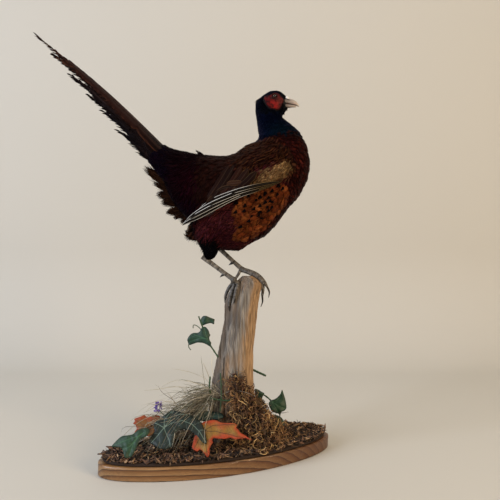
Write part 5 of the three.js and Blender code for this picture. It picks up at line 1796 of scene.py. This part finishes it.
# Painted shadow: from near the middle of the slab to its right end the pine is mixed toward dark brown.
shadow_place = put(pine_tree, "SeparateXYZ", {0: put(pine_tree, "TexCoord").outputs["Object"]})
painted_shadow = put(pine_tree, "MapRange", {0: shadow_place.outputs["X"], 1: -0.05, 2: 0.2, 4: 0.75})
pine_shadowed = put(pine_tree, "Mix", {0: painted_shadow, 6: pine_colour, 7: rgba("#4a2208")}, data_type="RGBA")
pine_mix = put(pine_tree, "VectorMath", {0: pine_shadowed.outputs[2], "Scale": pine_light}, operation="SCALE")
pine_tree.links.new(pine_mix.outputs[0], pine_shader.inputs["Base Color"])
pine_relief = put(pine_tree, "Math", {0: rings, 1: -0.6, 2: pine_fibres}, operation="MULTIPLY_ADD")
pine_bump = put(pine_tree, "Bump", {"Height": pine_relief, "Strength": 0.35, "Distance": 0.0008})
pine_tree.links.new(pine_bump.outputs[0], pine_shader.inputs["Normal"])
slab.data.materials.append(pine)

# %% [markdown]
# ## Ground litter
# Shredded bark covers the slab, and a heap of curly dyed moss hides the foot of the post. Both
# are thousands of loose pieces over a dark bed. A piece is a short strip: a spine, a width and a
# curl, so one function makes bark, moss, straw and petals.


# %% Strips
def strips(spines, widths, thickness, twist=0.0, sides=3):
    """Thin closed strips along spines, pointed at both ends. Returns points, faces and owners."""
    count, length = spines.shape[:2]
    tangents = unit(np.gradient(spines, axis=1))
    guide = unit(draw.normal(size=(count, 1, 3)))
    first = unit(np.cross(tangents, guide))
    second = np.cross(tangents, first)
    share = np.linspace(0, 1, length)
    shape = np.minimum(1, 3.2 * np.minimum(share + 0.12, 1.06 - share))[None, :, None]
    angles = np.arange(sides) / sides * math.tau
    turn = np.asarray(twist) * share[None, :, None] + angles[None, None, :]
    wide = (np.cos(turn) * shape * np.asarray(widths).reshape(-1, 1, 1) / 2)[..., None]
    high = (np.sin(turn) * shape * np.asarray(thickness).reshape(-1, 1, 1) / 2)[..., None]
    rings = spines[:, :, None] + first[:, :, None] * wide + second[:, :, None] * high
    faces = grid_faces(length, sides)
    faces = (faces[None] + np.arange(count)[:, None, None] * length * sides).reshape(-1, 4)
    return rings.reshape(-1, 3), faces, np.repeat(np.arange(count), length * sides)


def tinted_strips(name, slot, shape, tints, material, swapped=(), shade=1.0):
    points, faces, owners = shape
    piece = make_piece(name, points, faces, slot, swapped)
    choices = colours(tints)
    count = owners[-1] + 1
    own = choices[draw.integers(0, len(choices), count)] * draw.uniform(0.7, 1.25, (count, 1))
    own = own * np.reshape(shade, (-1, 1))
    dress(piece, material, Tint=own[owners])
    print(name, "pieces:", count, "triangles:", len(faces) * 2)
    return piece


def curls(starts, headings, lengths, rows, bend, wobble):
    """Spines that wander from their starts: a random turn that carries on, and a little shake."""
    count = len(starts)
    at, heading = starts.copy(), unit(headings)
    axis = unit(draw.normal(size=(count, 3)))
    spines = [at.copy()]
    step = (lengths / (rows - 1))[:, None]
    for _ in range(rows - 1):
        heading = unit(heading + np.cross(axis, heading) * bend + draw.normal(size=(count, 3)) * wobble)
        at = at + heading * step
        spines.append(at.copy())
    return np.stack(spines, 1)


# %% Bark mulch
bark_fibre = skin_material("bark_mulch_dry", 1.6, 0.5, Roughness=0.95)
MULCH_TOP = 32
mulch_levels = [(24.2, 0.955), (27, 0.965), (29.5, 0.95), (31, 0.90), (31.6, 0.8), (32, 0.6), (32.4, 0.3)]
mulch_rings = np.stack([slab_ring(h, s, 300) for h, s in mulch_levels])
mulch_rings[..., 2] += ripple(mulch_rings, 16, 31) * np.array([0, 0.3, 1, 1, 1, 1, 1])[:, None]
mulch_shape, mulch_faces = closed_tube(mulch_rings)
bed = make_piece("mulch_bed", mulch_shape, mulch_faces, "bark_mulch", ("bark_mulch",))
dress(bed, bark_fibre, Tint=colour("#2c1e15"))


def on_slab(count, low=0.0, high=0.94):
    """Random places over the slab, between two shares of its outline."""
    ring = slab_ring(0, 1.0)[:, :2]
    picks = draw.integers(0, len(ring), count)
    share = np.sqrt(draw.uniform(low ** 2, high ** 2, count))[:, None]
    return ring[picks] * share


CHIPS = 4200
RIM_CHIPS = 1500  # laid close along the edge
chip_places = np.vstack([on_slab(CHIPS - RIM_CHIPS), on_slab(RIM_CHIPS, 0.86, 0.965)])
chip_starts = np.column_stack([chip_places, MULCH_TOP + draw.uniform(-0.5, 3.8, CHIPS)])
chip_headings = draw.normal(size=(CHIPS, 3)) * (1, 1, 0.22)
chip_lengths = draw.gamma(3.2, 2.6, CHIPS) + 3
chip_spines = curls(chip_starts, chip_headings, chip_lengths, 4, 0.18, 0.12)
chip_spines -= (chip_spines[:, -1:] - chip_spines[:, :1]) / 2
chip_spines[..., 2] = np.maximum(chip_spines[..., 2], 27)
chip_shape = strips(chip_spines, draw.gamma(3, 0.9, CHIPS) + 0.8, draw.uniform(0.6, 1.8, CHIPS), 0.4, 4)
BARK_TINTS = ["#4e3b30", "#664a38", "#231914", "#88684b", "#3b2b24", "#a68665", "#1b140f", "#6f513e"]
# Painted shade and light: the chips are darker in broad patches and lighter between them.
chip_shade = np.clip(1.0 + 0.9 * ripple(chip_starts, 12, 32), 0.2, 1.7)
tinted_strips("mulch_chips", "bark_mulch", chip_shape, BARK_TINTS, bark_fibre, shade=chip_shade)

# %% Moss heap
MOSS = [
    # height, middle x, middle y, half length, half depth
    (32.35, 69, 8, 62, 54), (52, 63, 4, 52, 46), (75, 56, -1, 42, 37), (100, 47, -6, 31, 28),
    (125, 38, -11, 21, 20), (146, 32, -15, 14, 12), (164, 28, -16, 8, 8),
]


def moss_points(share, turn, grow=0.0):
    """Points on the heap: share of its height, angle round it, distance out from it."""
    table = np.array(MOSS, float)
    at = share * (len(MOSS) - 1)
    height, x, y, long, deep = (np.interp(at, np.arange(len(MOSS)), table[:, i]) for i in range(5))
    uneven = 1 + 0.05 * np.sin(4 * turn + at) + 0.03 * np.sin(9 * turn + 2 * at)
    x = x + (long * uneven + grow) * np.cos(turn)
    y = y + (deep * uneven + grow) * np.sin(turn)
    return np.stack([x, y, height], -1)


heap_rows = np.linspace(0, 1, 40)
heap_sides = np.linspace(0, math.tau, 120, endpoint=False)
heap_share, heap_turn = np.meshgrid(heap_rows, heap_sides, indexing="ij")
heap = moss_points(heap_share, heap_turn, -6.0)
heap += unit(heap - np.array([50, 5, 40.0])) * (ripple(heap, 14, 41) * 2)[..., None]
heap_shape, heap_faces = closed_tube(heap)
heap_bed = make_piece("moss_bed", heap_shape, heap_faces, "moss_fibre", ("moss_heap",))
# Painted shade: the bed inside the heap is darker than any of the moss, for the shade between the curls.
add_colours(heap_bed, "Tint", colour("#1c110b"))
moss_fibre = skin_material("moss_fibre_dyed_dry", 0.8, 0.2, Roughness=0.8)
heap_bed.data.materials.append(bark_fibre)

FIBRES = 4200
heights = 1 - np.sqrt(draw.uniform(0, 1, FIBRES))
turns_round = draw.uniform(0, math.tau, FIBRES)
fibre_roots = moss_points(heights, turns_round, draw.uniform(-5, 1.0, FIBRES))
fibre_roots[:, 2] += draw.normal(size=FIBRES) * 3
out_of_heap = unit(fibre_roots - np.array([52, 2, 50.0]))
fibre_headings = unit(draw.normal(size=(FIBRES, 3)) + out_of_heap * 0.5)
fibre_spines = curls(fibre_roots, fibre_headings, draw.gamma(4, 3.6, FIBRES) + 8, 8, 0.75, 0.45)
fibre_spines[..., 2] = np.maximum(fibre_spines[..., 2], 31)
fibre_shape = strips(fibre_spines, draw.uniform(0.8, 2.2, FIBRES), draw.uniform(0.5, 1.0, FIBRES), 1.5)
MOSS_TINTS = ["#856041", "#684630", "#a47c50", "#442d1f", "#946e46", "#331f17", "#c6a068"]
# Painted shade and light: the moss curls are darker in broad patches and lighter between them.
fibre_shade = np.clip(1.0 + 0.9 * ripple(fibre_roots, 14, 42), 0.2, 1.7)
tinted_strips("moss_curls", "moss_fibre", fibre_shape, MOSS_TINTS, moss_fibre, shade=fibre_shade)

# %% Moss strewn over the slab
STREWN = 900
strewn_x = draw.normal(70, 60, STREWN)
strewn_y = draw.normal(-5, 34, STREWN)
strewn = np.column_stack([strewn_x, strewn_y, draw.uniform(33, 38, STREWN)])
ring_reach = np.abs(strewn_x * math.cos(SLAB_TURN) + strewn_y * math.sin(SLAB_TURN)) / (SLAB_LENGTH / 2)
ring_deep = np.abs(-strewn_x * math.sin(SLAB_TURN) + strewn_y * math.cos(SLAB_TURN)) / (SLAB_DEPTH / 2)
strewn = strewn[ring_reach ** 2 + ring_deep ** 2 < 0.8]
strewn_headings = draw.normal(size=strewn.shape) * (1, 1, 0.2)
strewn_spines = curls(strewn, strewn_headings, draw.gamma(3, 5.0, len(strewn)) + 6, 8, 0.5, 0.3)
strewn_spines[..., 2] = np.clip(strewn_spines[..., 2], 32.5, 44)
strewn_shape = strips(strewn_spines, draw.uniform(0.7, 1.5, len(strewn)), np.full(len(strewn), 0.6), 1.5)
tinted_strips("moss_strewn", "moss_fibre", strewn_shape, MOSS_TINTS, moss_fibre)

# %% [markdown]
# ## Dry grass
# A loose clump of dry grass leans out from the left of the post and falls forward over the
# leaves. Each blade leaves the wood going up and out, then droops under its own weight, which is
# a plain parabola with a little shake.

# %% Grass
GRASS_LINE = [(-4, -14, 136), (-24, -18, 112), (-62, -24, 88), (-94, -32, 74), (-118, -40, 62)]
straw = skin_material("dry_grass_straw", 0.8, 0.1, Roughness=0.75)
BLADES = 560
line = smooth_rows(GRASS_LINE, 60)
start_share = draw.beta(1.0, 2.2, BLADES)
blade_roots = line[(start_share * 59).astype(int)] + draw.normal(size=(BLADES, 3)) * (5, 7, 6)
blade_roots[:, 2] -= 6
blade_heads = unit(draw.normal(size=(BLADES, 3)) * (0.5, 0.5, 0.45) + np.array([-0.75, -0.12, 0.25]))
blade_lengths = draw.gamma(6, 9.0, BLADES) + 12
blade_share = np.linspace(0, 1, 9)[None, :, None]
blade_spines = blade_roots[:, None] + blade_heads[:, None] * blade_lengths[:, None, None] * blade_share
blade_droops = draw.uniform(0.25, 0.75, (BLADES, 1)) * blade_lengths[:, None]
blade_spines[..., 2] -= blade_droops * blade_share[..., 0] ** 2
curl = draw.uniform(0.5, 2.2, (BLADES, 1, 3)) * np.array([1, 1, 0.8])
turn = blade_share * draw.uniform(2, 9, (BLADES, 1, 1)) + draw.uniform(0, math.tau, (BLADES, 1, 3))
shake = curl * np.sin(turn) * blade_share * 2.4 + draw.normal(size=(BLADES, 9, 3)).cumsum(axis=1) * 0.4
blade_spines += shake
GRASS_FRONT = -98  # blades that fall forward end over the slab
ahead = (blade_spines[..., 1] - blade_roots[:, None, 1]).min(axis=1)
shorter = np.minimum(1, (GRASS_FRONT - blade_roots[:, 1]) / np.minimum(ahead, -0.001))
blade_spines = blade_roots[:, None] + (blade_spines - blade_roots[:, None]) * shorter[:, None, None]
blade_spines[..., 2] = np.maximum(blade_spines[..., 2], 34)
blade_spines[..., 0] = np.maximum(blade_spines[..., 0], -176)
blade_shape = strips(blade_spines, draw.uniform(0.6, 1.5, BLADES), np.full(BLADES, 0.45), 1.2)
STRAW_TINTS = ["#b0a690", "#8c826c", "#c8bea8", "#74725a", "#9c927c", "#64644c", "#6a5e4c"]
tinted_strips("grass_blades", "dry_grass", blade_shape, STRAW_TINTS, straw, ("dry_grass",))

LONG_STALKS = [
    # points of stalks that stand out of the clump
    [(-40, -28, 140), (-80, -32, 144), (-112, -34, 140), (-137, -36, 138)],
    [(-84, -34, 98), (-116, -44, 96), (-144, -50, 84), (-166, -54, 66), (-174, -56, 54)],
    [(-16, -20, 150), (-22, -22, 168), (-30, -22, 186)],
    [(-10, -18, 158), (-14, -20, 178), (-12, -22, 204)],
    [(-60, -30, 110), (-92, -36, 118), (-118, -40, 112), (-134, -42, 100)],
]
stalk_spines = np.stack([smooth_rows(points, 16) for points in LONG_STALKS])
stalk_shape = strips(stalk_spines, np.full(len(LONG_STALKS), 1.1), np.full(len(LONG_STALKS), 0.9), 0.5, 6)
tinted_strips("grass_stalks", "dry_grass", stalk_shape, STRAW_TINTS[:3], straw)

# %% [markdown]
# ## Leaves
# Cloth ivy and maple leaves lie against the heap. A leaf spreads from the end of its stalk in
# lobes, each with a vein down its middle and smaller veins off it. Each is cut to its outline as
# seen from the front, with points set along the veins, so that every vein stays sharp. Outlines
# are noted as places in the camera's view, and laid from there on each leaf's own slope.

# %% Leaf outlines
VIEW_SIDE = 500  # places across the camera's view, and down it
VIEW_RATE = round(VIEW_SIDE * camera_data.lens / camera_data.sensor_width, 1)
LEAVES = {
    # name: kind, y of the stalk's end, lean, droop, and then places in the camera's view, counted
    # from its top left corner: the stalk's end, the outline and the veins
    "ivy_leaf_large": (
        "ivy", -68, 52, 0.0012, (164, 427.5),
        [(163, 416), (168, 412.5), (173, 411), (178, 411.5), (184, 413), (190, 415), (196, 418),
         (200, 421), (203, 426), (205, 432), (206.3, 438), (207, 444), (204, 444), (201, 441),
         (198, 436.5), (194, 433), (190, 430.8), (186, 430), (180, 430), (176.5, 432), (174.2, 436),
         (174, 440), (174, 444), (172, 447), (168, 448.8), (164, 449.5), (159.5, 449.5), (155, 446.5),
         (150.5, 444), (149, 441), (150, 438), (153, 434), (154.5, 430), (153.5, 427), (154, 424),
         (156, 421), (159.5, 419.5)],
        [[(172, 423), (182, 420.5), (192, 424), (200, 432), (206, 443)],
         [(166, 434), (169, 440), (170, 448)], [(159, 434), (155, 439), (151, 443)],
         [(159, 424.5), (155, 423)], [(164, 420), (168, 415), (172, 412)],
         [(171, 418), (180, 414), (188, 415)]],
    ),
    "ivy_leaf_low": (
        "ivy", -84, 56, 0.0015, (144, 432.5),
        [(137, 430), (143, 429), (147, 428), (149.5, 430), (149.5, 433), (147, 436), (142, 438.5),
         (139.5, 441), (137, 447), (134, 453), (131.5, 457), (128, 458.5), (125, 457.5), (123.5, 454),
         (122.5, 450), (120, 447.5), (115, 447.5), (110.5, 447.5), (113.5, 444), (117, 440),
         (121, 437), (126, 435.5), (132, 435), (135, 433)],
        [[(139, 436), (133, 444), (129, 456)], [(137, 436.5), (127, 439.5), (114, 446)],
         [(136, 438.5), (130, 446), (124, 449)]],
    ),
    "ivy_leaf_twig_top": (
        "ivy", 4, 80, 0.001, (202, 324.5),
        [(200, 321), (201, 318), (203, 316), (206, 315.5), (209, 317), (213, 318.5), (215, 319),
         (214.5, 322), (214.5, 324.5), (211, 323), (208, 323.5), (205, 324.5), (203, 326),
         (201, 324.5)],
        [[(206, 320.5), (214, 321.5)], [(202.5, 318)]],
    ),
    "ivy_leaf_twig_side": (
        "ivy", -9, 74, 0.002, (208, 339),
        [(204.5, 326), (207, 328), (209, 331), (209.5, 334), (210.5, 335), (209, 337.5), (210, 341),
         (211.5, 342.5), (210.5, 346.5), (207, 344.5), (203, 342.8), (198, 342.5), (195, 343.5),
         (192, 344.5), (189, 345.5), (188, 342), (187.5, 339), (189, 336), (191, 333.8),
         (194, 332.8), (198, 333), (200, 331), (201.5, 327.5)],
        [[(200, 338), (189, 342)], [(206, 334), (204.5, 327.5)], [(203, 337), (194, 334.5)]],
    ),
    "ivy_leaf_right_top": (
        "ivy", 66, 70, 0.002, (262, 400),
        [(254.3, 389), (258, 389.3), (262, 392), (265, 393), (263, 396), (262, 399), (264, 402),
         (267, 405), (266, 407.5), (262, 404), (258, 400), (255, 396.5)],
        [[(259, 395), (256, 390.5)], [(265.5, 405.5)]],
    ),
    "ivy_leaf_right_side": (
        "ivy", 44, 72, 0.002, (272, 402),
        [(282, 389), (283.5, 394), (285.5, 399), (286.5, 405), (286.5, 409), (284.5, 411),
         (282, 411.5), (281, 413), (280, 418), (279, 414), (275, 413), (272, 411), (270, 408),
         (268, 403), (271, 401), (275, 399.5), (279, 397), (281, 393)],
        [[(278, 405), (285, 409)], [(277, 401), (280.5, 397), (282, 391)],
         [(276, 408), (279.5, 415)]],
    ),
    "ivy_leaf_right_low": (
        "ivy", 34, 66, 0.002, (277, 417),
        [(272, 416), (276, 415.5), (281, 417), (284, 421), (285, 425), (283, 428), (279, 428.5),
         (274, 426), (271, 421)],
        [[(279, 421), (282, 427)], [(274, 421), (274, 425)]],
    ),
    "maple_leaf_orange": (
        "maple", -40, 60, 0.001, (150, 431),
        [(134, 419.5), (136.5, 418), (140, 417), (144, 416), (146.5, 417.5), (149.5, 418),
         (152, 417), (155, 415.5), (158, 416), (161, 417.5), (164, 417), (162, 422), (159, 425),
         (157, 430), (154, 434), (150, 437), (145, 436), (140, 436), (134, 437), (133, 435),
         (134.5, 432), (136.5, 429), (135, 426), (133, 424), (134.5, 421.5)],
        [[(143, 425.5), (135, 420)], [(147, 422), (144.5, 417)], [(152, 424), (157, 417)],
         [(142, 433), (134, 436)]],
    ),
    "maple_leaf_yellow": (
        "maple", -62, 55, 0.0004, (203, 431),
        [(198, 430), (200, 424), (204, 422), (208, 421), (213, 420.3), (217, 421), (220, 422.5),
         (224, 423), (230, 423.3), (235, 423.6), (237, 425.5), (236, 428), (238, 430), (240, 433),
         (243, 435), (247, 437.5), (252, 440), (246, 439), (240, 439), (236, 439.7), (230, 438.3),
         (225, 439.5), (220, 439), (213, 438.3), (212, 441), (213, 443), (210.5, 446), (209.5, 449),
         (210, 453), (209, 456), (207.5, 458), (205, 454), (202, 450.5), (199.5, 450), (197, 452),
         (193, 450), (191.5, 447), (193, 442), (194, 438), (196, 435)],
        [[(215, 431.5), (228, 434), (246, 438.5)], [(212, 426), (224, 424.5), (235, 425)],
         [(206, 440), (207.5, 456)], [(199, 440), (194, 449)], [(206, 425), (209, 421.5)]],
    ),
    "ivy_leaf_hidden": (
        "ivy", -30, 60, 0.001, (200, 418),
        [(189, 413), (196, 411), (205, 410.5), (213, 412), (220, 413), (225, 417), (220, 419),
         (213, 420), (206, 422), (198, 421), (192, 418)],
        [[(208, 416), (222, 417)], [(195, 416), (190, 414)], [(205, 413), (212, 412.5)]],
    ),
}
LEAF_AHEAD = {"ivy_leaf_twig_side": 3}  # moved to the front, clear of the twig
LEAF_COLOURS = {
    # name: middle, tip, vein
    "ivy_leaf_large": ("#0a2019", "#071913", "#728a7c"), "ivy_leaf_low": ("#143a20", "#0f2f1a", "#37603f"),
    "ivy_leaf_twig_top": ("#153a28", "#102e20", "#2c583e"),
    "ivy_leaf_twig_side": ("#163c2a", "#103022", "#386449"),
    "ivy_leaf_right_top": ("#13341f", "#0e2a18", "#2b5036"),
    "ivy_leaf_right_side": ("#183c22", "#12321b", "#416847"),
    "ivy_leaf_hidden": ("#12302c", "#0d2420", "#3c5a50"),
    "ivy_leaf_right_low": ("#1e4025", "#15321b", "#395e3f"),
    "maple_leaf_orange": ("#86561e", "#963a16", "#5c3012"),
    "maple_leaf_yellow": ("#866222", "#a03a16", "#2e1c0c"),
}
LEAF_PITCH = 1.6
LEAF_THICKNESS = 0.7
LAYING_ROUNDS = 8  # each settles how far back the points of a leaf are


def front_places(view_places, back):
    """Front-view x and z of places in the camera's view, at their distance back."""
    scale = (back - CAMERA_PLACE[1]) / VIEW_RATE
    off_middle = (np.array(view_places, float) - VIEW_SIDE / 2) * (1, -1)
    return np.array(CAMERA_PLACE)[[0, 2]] + off_middle * scale[..., None]


def leaf_back(away, y, lean, droop):
    """How far back a leaf's face is, at each way from its stalk's end in front view."""
    return y + away[:, 1] / math.tan(math.radians(lean)) + droop * (away ** 2).sum(axis=1)


def on_leaf(view_places, stalk, y, lean, droop):
    """Front-view places, to the millimetre, of places in the camera's view on a leaf's face."""
    back = np.full(len(view_places), float(y))
    for _ in range(LAYING_ROUNDS):
        spots = front_places(view_places, back)
        back = leaf_back(spots - stalk, y, lean, droop)
    return spots.round()


def line_points(points, pitch, closed=False):
    """Points spaced evenly along a line, with its corners kept."""
    corners = np.array(points, float)
    ends = np.roll(corners, -1, axis=0)[:len(corners) if closed else -1]
    spaced = []
    for start, end in zip(corners, ends):
        steps = max(1, round(np.linalg.norm(end - start) / pitch))
        spaced.append(start + (end - start) * np.arange(steps)[:, None] / steps)
    return np.vstack(spaced if closed else spaced + [corners[-1:]])


def vein_places(spots, lines):
    """Distance along the nearest vein and distance from it, for each point."""
    along, beside = np.zeros(len(spots)), np.full(len(spots), 1e9)
    for line in lines:
        run = 0.0
        for start, end in zip(line[:-1], line[1:]):
            share, away = from_edge(spots, start, end)
            gap = np.linalg.norm(away, axis=1)
            along = np.where(gap < beside, run + share * np.linalg.norm(end - start), along)
            beside = np.minimum(beside, gap)
            run += np.linalg.norm(end - start)
    return along, beside


def leaf_shape(kind, slope, end, edge, veins, seed):
    """Leaf cut to its outline in front view. Also vein places and share out to the edge."""
    if kind == "ivy":
        after = np.roll(edge, -1, axis=0)
        edge = np.stack([edge * 0.75 + after * 0.25, edge * 0.25 + after * 0.75], 1).reshape(-1, 2)
    rim = line_points(edge, LEAF_PITCH, closed=True)
    lines = [np.vstack([end, vein]) for vein in veins]
    ribs = np.vstack([line_points(line, LEAF_PITCH) for line in lines])
    ribs = ribs[outline_distance(ribs[:, [0, 0, 1]], rim) < -0.5 * LEAF_PITCH]
    low, high = rim.min(axis=0), rim.max(axis=0)
    steps = (np.arange(start, stop, LEAF_PITCH) for start, stop in zip(low, high))
    grid = np.stack(np.meshgrid(*steps), -1).reshape(-1, 2)
    inside = outline_distance(grid[:, [0, 0, 1]], rim) < -0.6 * LEAF_PITCH
    clear = np.linalg.norm(grid[:, None] - ribs[None], axis=2).min(axis=1) > 0.6 * LEAF_PITCH
    flat = np.vstack([rim, ribs, grid[inside & clear]])
    made = delaunay_2d_cdt([Vector(spot) for spot in flat], [], [list(range(len(rim)))], 1, 1e-4)
    flat = np.array([tuple(spot) for spot in made[0]])
    tris = np.array(made[2])
    along, beside = vein_places(flat, lines)
    inset = np.maximum(-outline_distance(flat[:, [0, 0, 1]], rim), 0)
    place = np.column_stack([flat[:, 0], np.zeros(len(flat)), flat[:, 1]])
    back = leaf_back(flat - end, *slope)
    back -= 1.5 * np.minimum(beside / 7, 1) + 2.0 * ripple(place, 30, seed) + 0.8 * ripple(place, 11, seed)
    back += 2.4 * np.exp(-inset / 2.5)
    top = np.column_stack([flat[:, 0], back, flat[:, 1]])
    count = len(top)
    edges = np.vstack([tris[:, [0, 1]], tris[:, [1, 2]], tris[:, [2, 0]]])
    keys = edges[:, 0] * count + edges[:, 1]
    hem = edges[~np.isin(keys, edges[:, 1] * count + edges[:, 0])]
    hem_quads = np.column_stack([hem[:, 1], hem[:, 0], hem[:, 0] + count, hem[:, 1] + count])
    points = np.vstack([top, top + np.array([0, LEAF_THICKNESS, 0])])
    share = 1 - np.clip(inset / (0.75 * inset.max()), 0, 1)
    vein = np.column_stack([along, beside]) / 100
    return points, [tris, tris[:, ::-1] + count, hem_quads], np.vstack([vein, vein]), np.tile(share, 2)


def leaf_material(name, side_vein, rough, vein_strength):
    """Cloth leaf: Tint with veins of the Edge colour, placed by the Vein map."""
    made, tree, shader = new_material(name, Roughness=rough)
    tint = put(tree, "Attribute", attribute_name="Tint")
    edge = put(tree, "Attribute", attribute_name="Edge")
    place = put(tree, "SeparateXYZ", {0: put(tree, "UVMap", uv_map="Vein")})
    main = put(tree, "MapRange", {0: place.outputs["Y"], 1: 0.007, 2: 0.002},
               interpolation_type="SMOOTHSTEP")
    slant = put(tree, "Math", {0: place.outputs["Y"], 1: -0.75, 2: place.outputs["X"]},
                operation="MULTIPLY_ADD")
    shaken = put(tree, "TexNoise", {0: put(tree, "UVMap", uv_map="Vein"), "Scale": 18.0})
    bent = put(tree, "Math", {0: shaken, 1: 0.05, 2: slant}, operation="MULTIPLY_ADD")
    cycle = put(tree, "Math", {0: bent, 1: side_vein / 100}, operation="PINGPONG")
    side = put(tree, "MapRange", {0: cycle, 1: 0.0045, 2: 0.001, 4: 0.7}, interpolation_type="SMOOTHSTEP")
    both = put(tree, "Math", {0: main, 1: side}, operation="MAXIMUM")
    share = put(tree, "Math", {0: both, 1: vein_strength}, operation="MULTIPLY")
    space = put(tree, "TexCoord").outputs["Object"]
    weave = put(tree, "TexNoise", {0: space, "Scale": 600.0, "Detail": 3.0})
    blotch = put(tree, "TexNoise", {0: space, "Scale": 70.0, "Detail": 2.0})
    grain = put(tree, "Math", {0: weave, 1: blotch}, operation="ADD")
    shade = put(tree, "MapRange", {0: grain, 1: 0.7, 2: 1.3, 3: 0.7, 4: 1.3})
    based = put(tree, "VectorMath", {0: tint.outputs["Color"], "Scale": shade}, operation="SCALE")
    mixed = put(tree, "Mix", {0: share, 6: based, 7: edge.outputs["Color"]}, data_type="RGBA")
    tree.links.new(mixed.outputs[2], shader.inputs["Base Color"])
    relief = put(tree, "Math", {0: both, 1: -1.0, 2: weave}, operation="MULTIPLY_ADD")
    bumped = put(tree, "Bump", {"Height": relief, "Strength": 0.3, "Distance": 0.0006})
    tree.links.new(bumped.outputs[0], shader.inputs["Normal"])
    return made


ivy_cloth = leaf_material("ivy_cloth_waxed", 7.0, 0.55, 0.75)
maple_cloth = leaf_material("maple_cloth_matt", 8.0, 0.7, 0.85)
for number, (name, (kind, y, lean, droop, end, outline, veins)) in enumerate(LEAVES.items()):
    stalk = front_places(end, np.array(float(y)))
    edge, *veins = (on_leaf(line, stalk, y, lean, droop) for line in (outline, *veins))
    slope = (y - LEAF_AHEAD.get(name, 0), lean, droop)
    points, faces, vein, share = leaf_shape(kind, slope, stalk.round(), edge, veins, 60 + number)
    node = (name,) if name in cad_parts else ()
    piece = make_piece(f"{name}_cloth", points, faces, f"{kind}_cloth", node)
    middle, tip, vein_shade = LEAF_COLOURS[name]
    patches = 0.22 * ripple(points, 22, 80 + number)
    spread = smooth_step(0.25, 0.95, share + patches)
    dress(
        piece, ivy_cloth if kind == "ivy" else maple_cloth,
        Tint=blend(colour(middle), colour(tip), spread),
        Edge=colour(vein_shade),
    )
    add_map(piece, "Vein", vein)
print("leaves:", len(LEAVES))

# %% Stems and flower
STEMS = {
    # name: frame node, radius, points
    "ivy_twig_stalk": ("ivy_twig", 1.5, [(-3, -2, 192), (-12, -3, 206), (-22, -5, 222), (-30, -6, 244),
                                         (-40, -4, 270)]),
    "ivy_stalk_right": ("ivy_stem_right", 1.5,
                        [(70, 56, 112), (88, 54, 104), (104, 50, 90), (112, 44, 78)]),
    "cut_stalk": ("cut_stem", 2.1, [(56, 30, 165), (70, 30, 158), (88, 29, 150)]),
    "sprig_upright": (None, 1.6, [(-14, -20, 112), (-18, -22, 140), (-17, -20, 160)]),
    "sprig_across": (None, 1.5, [(-20, -26, 122), (0, -28, 119), (18, -27, 117), (20, -26, 120)]),
    "sprig_low": (None, 1.2, [(2, -30, 98), (4, -24, 130), (2, -18, 166)]),
    "ivy_tendril": (None, 0.8, [(-34, -6, 244), (-42, -8, 252), (-49, -8, 254), (-50, -8, 248)]),
    "ivy_tip_curl": (None, 0.8, [(-50, -9, 227), (-57, -9, 220), (-58, -9, 213), (-54, -9, 207)]),
    "flower_stalk": (None, 0.8, [(-92, -30, 84), (-104, -30, 94), (-112, -28, 102)]),
}
stalk_green = skin_material("ivy_stalk_green", 1.5, 0.3, Roughness=0.6)
for name, (node, radius, points) in STEMS.items():
    path = smooth_rows(points, 30)
    rings = tube(path, np.full(30, radius) * (1 + 0.12 * np.sin(np.arange(30) * 1.3)), 12)
    shape, faces = closed_tube(rings)
    piece = make_piece(name, shape, faces, "ivy_cloth", (node,) if node else ())
    dress(piece, stalk_green, Tint=colour("#2c4a2c"))

FLOWER_CENTRE = (-112, -28, 106)
FLORETS = 26
floret_spots = unit(draw.normal(size=(FLORETS, 3))) * draw.uniform(3, 8, (FLORETS, 1)) * (0.85, 0.75, 1.3)
petal_starts = np.repeat(np.array(FLOWER_CENTRE) + floret_spots, 5, axis=0)
petal_aims = np.repeat(unit(floret_spots), 5, axis=0) * 0.5
petal_heads = unit(petal_aims + draw.normal(size=petal_starts.shape) * 0.7)
petal_spines = curls(petal_starts, petal_heads, draw.uniform(3.2, 5.2, len(petal_starts)), 5, 0.2, 0.1)
petal_widths = draw.uniform(1.6, 2.4, len(petal_starts))
petal_shape = strips(petal_spines, petal_widths, np.full(len(petal_starts), 0.5), 0.2, 4)
flower_cloth = skin_material("flower_cloth_purple", 0.8, 0.1, Roughness=0.75)
PETAL_TINTS = ["#6a4cab", "#7a5cc0", "#563c94", "#8a70cc"]
tinted_strips("flower_petals", "flower_cloth", petal_shape, PETAL_TINTS, flower_cloth, ("flower",))
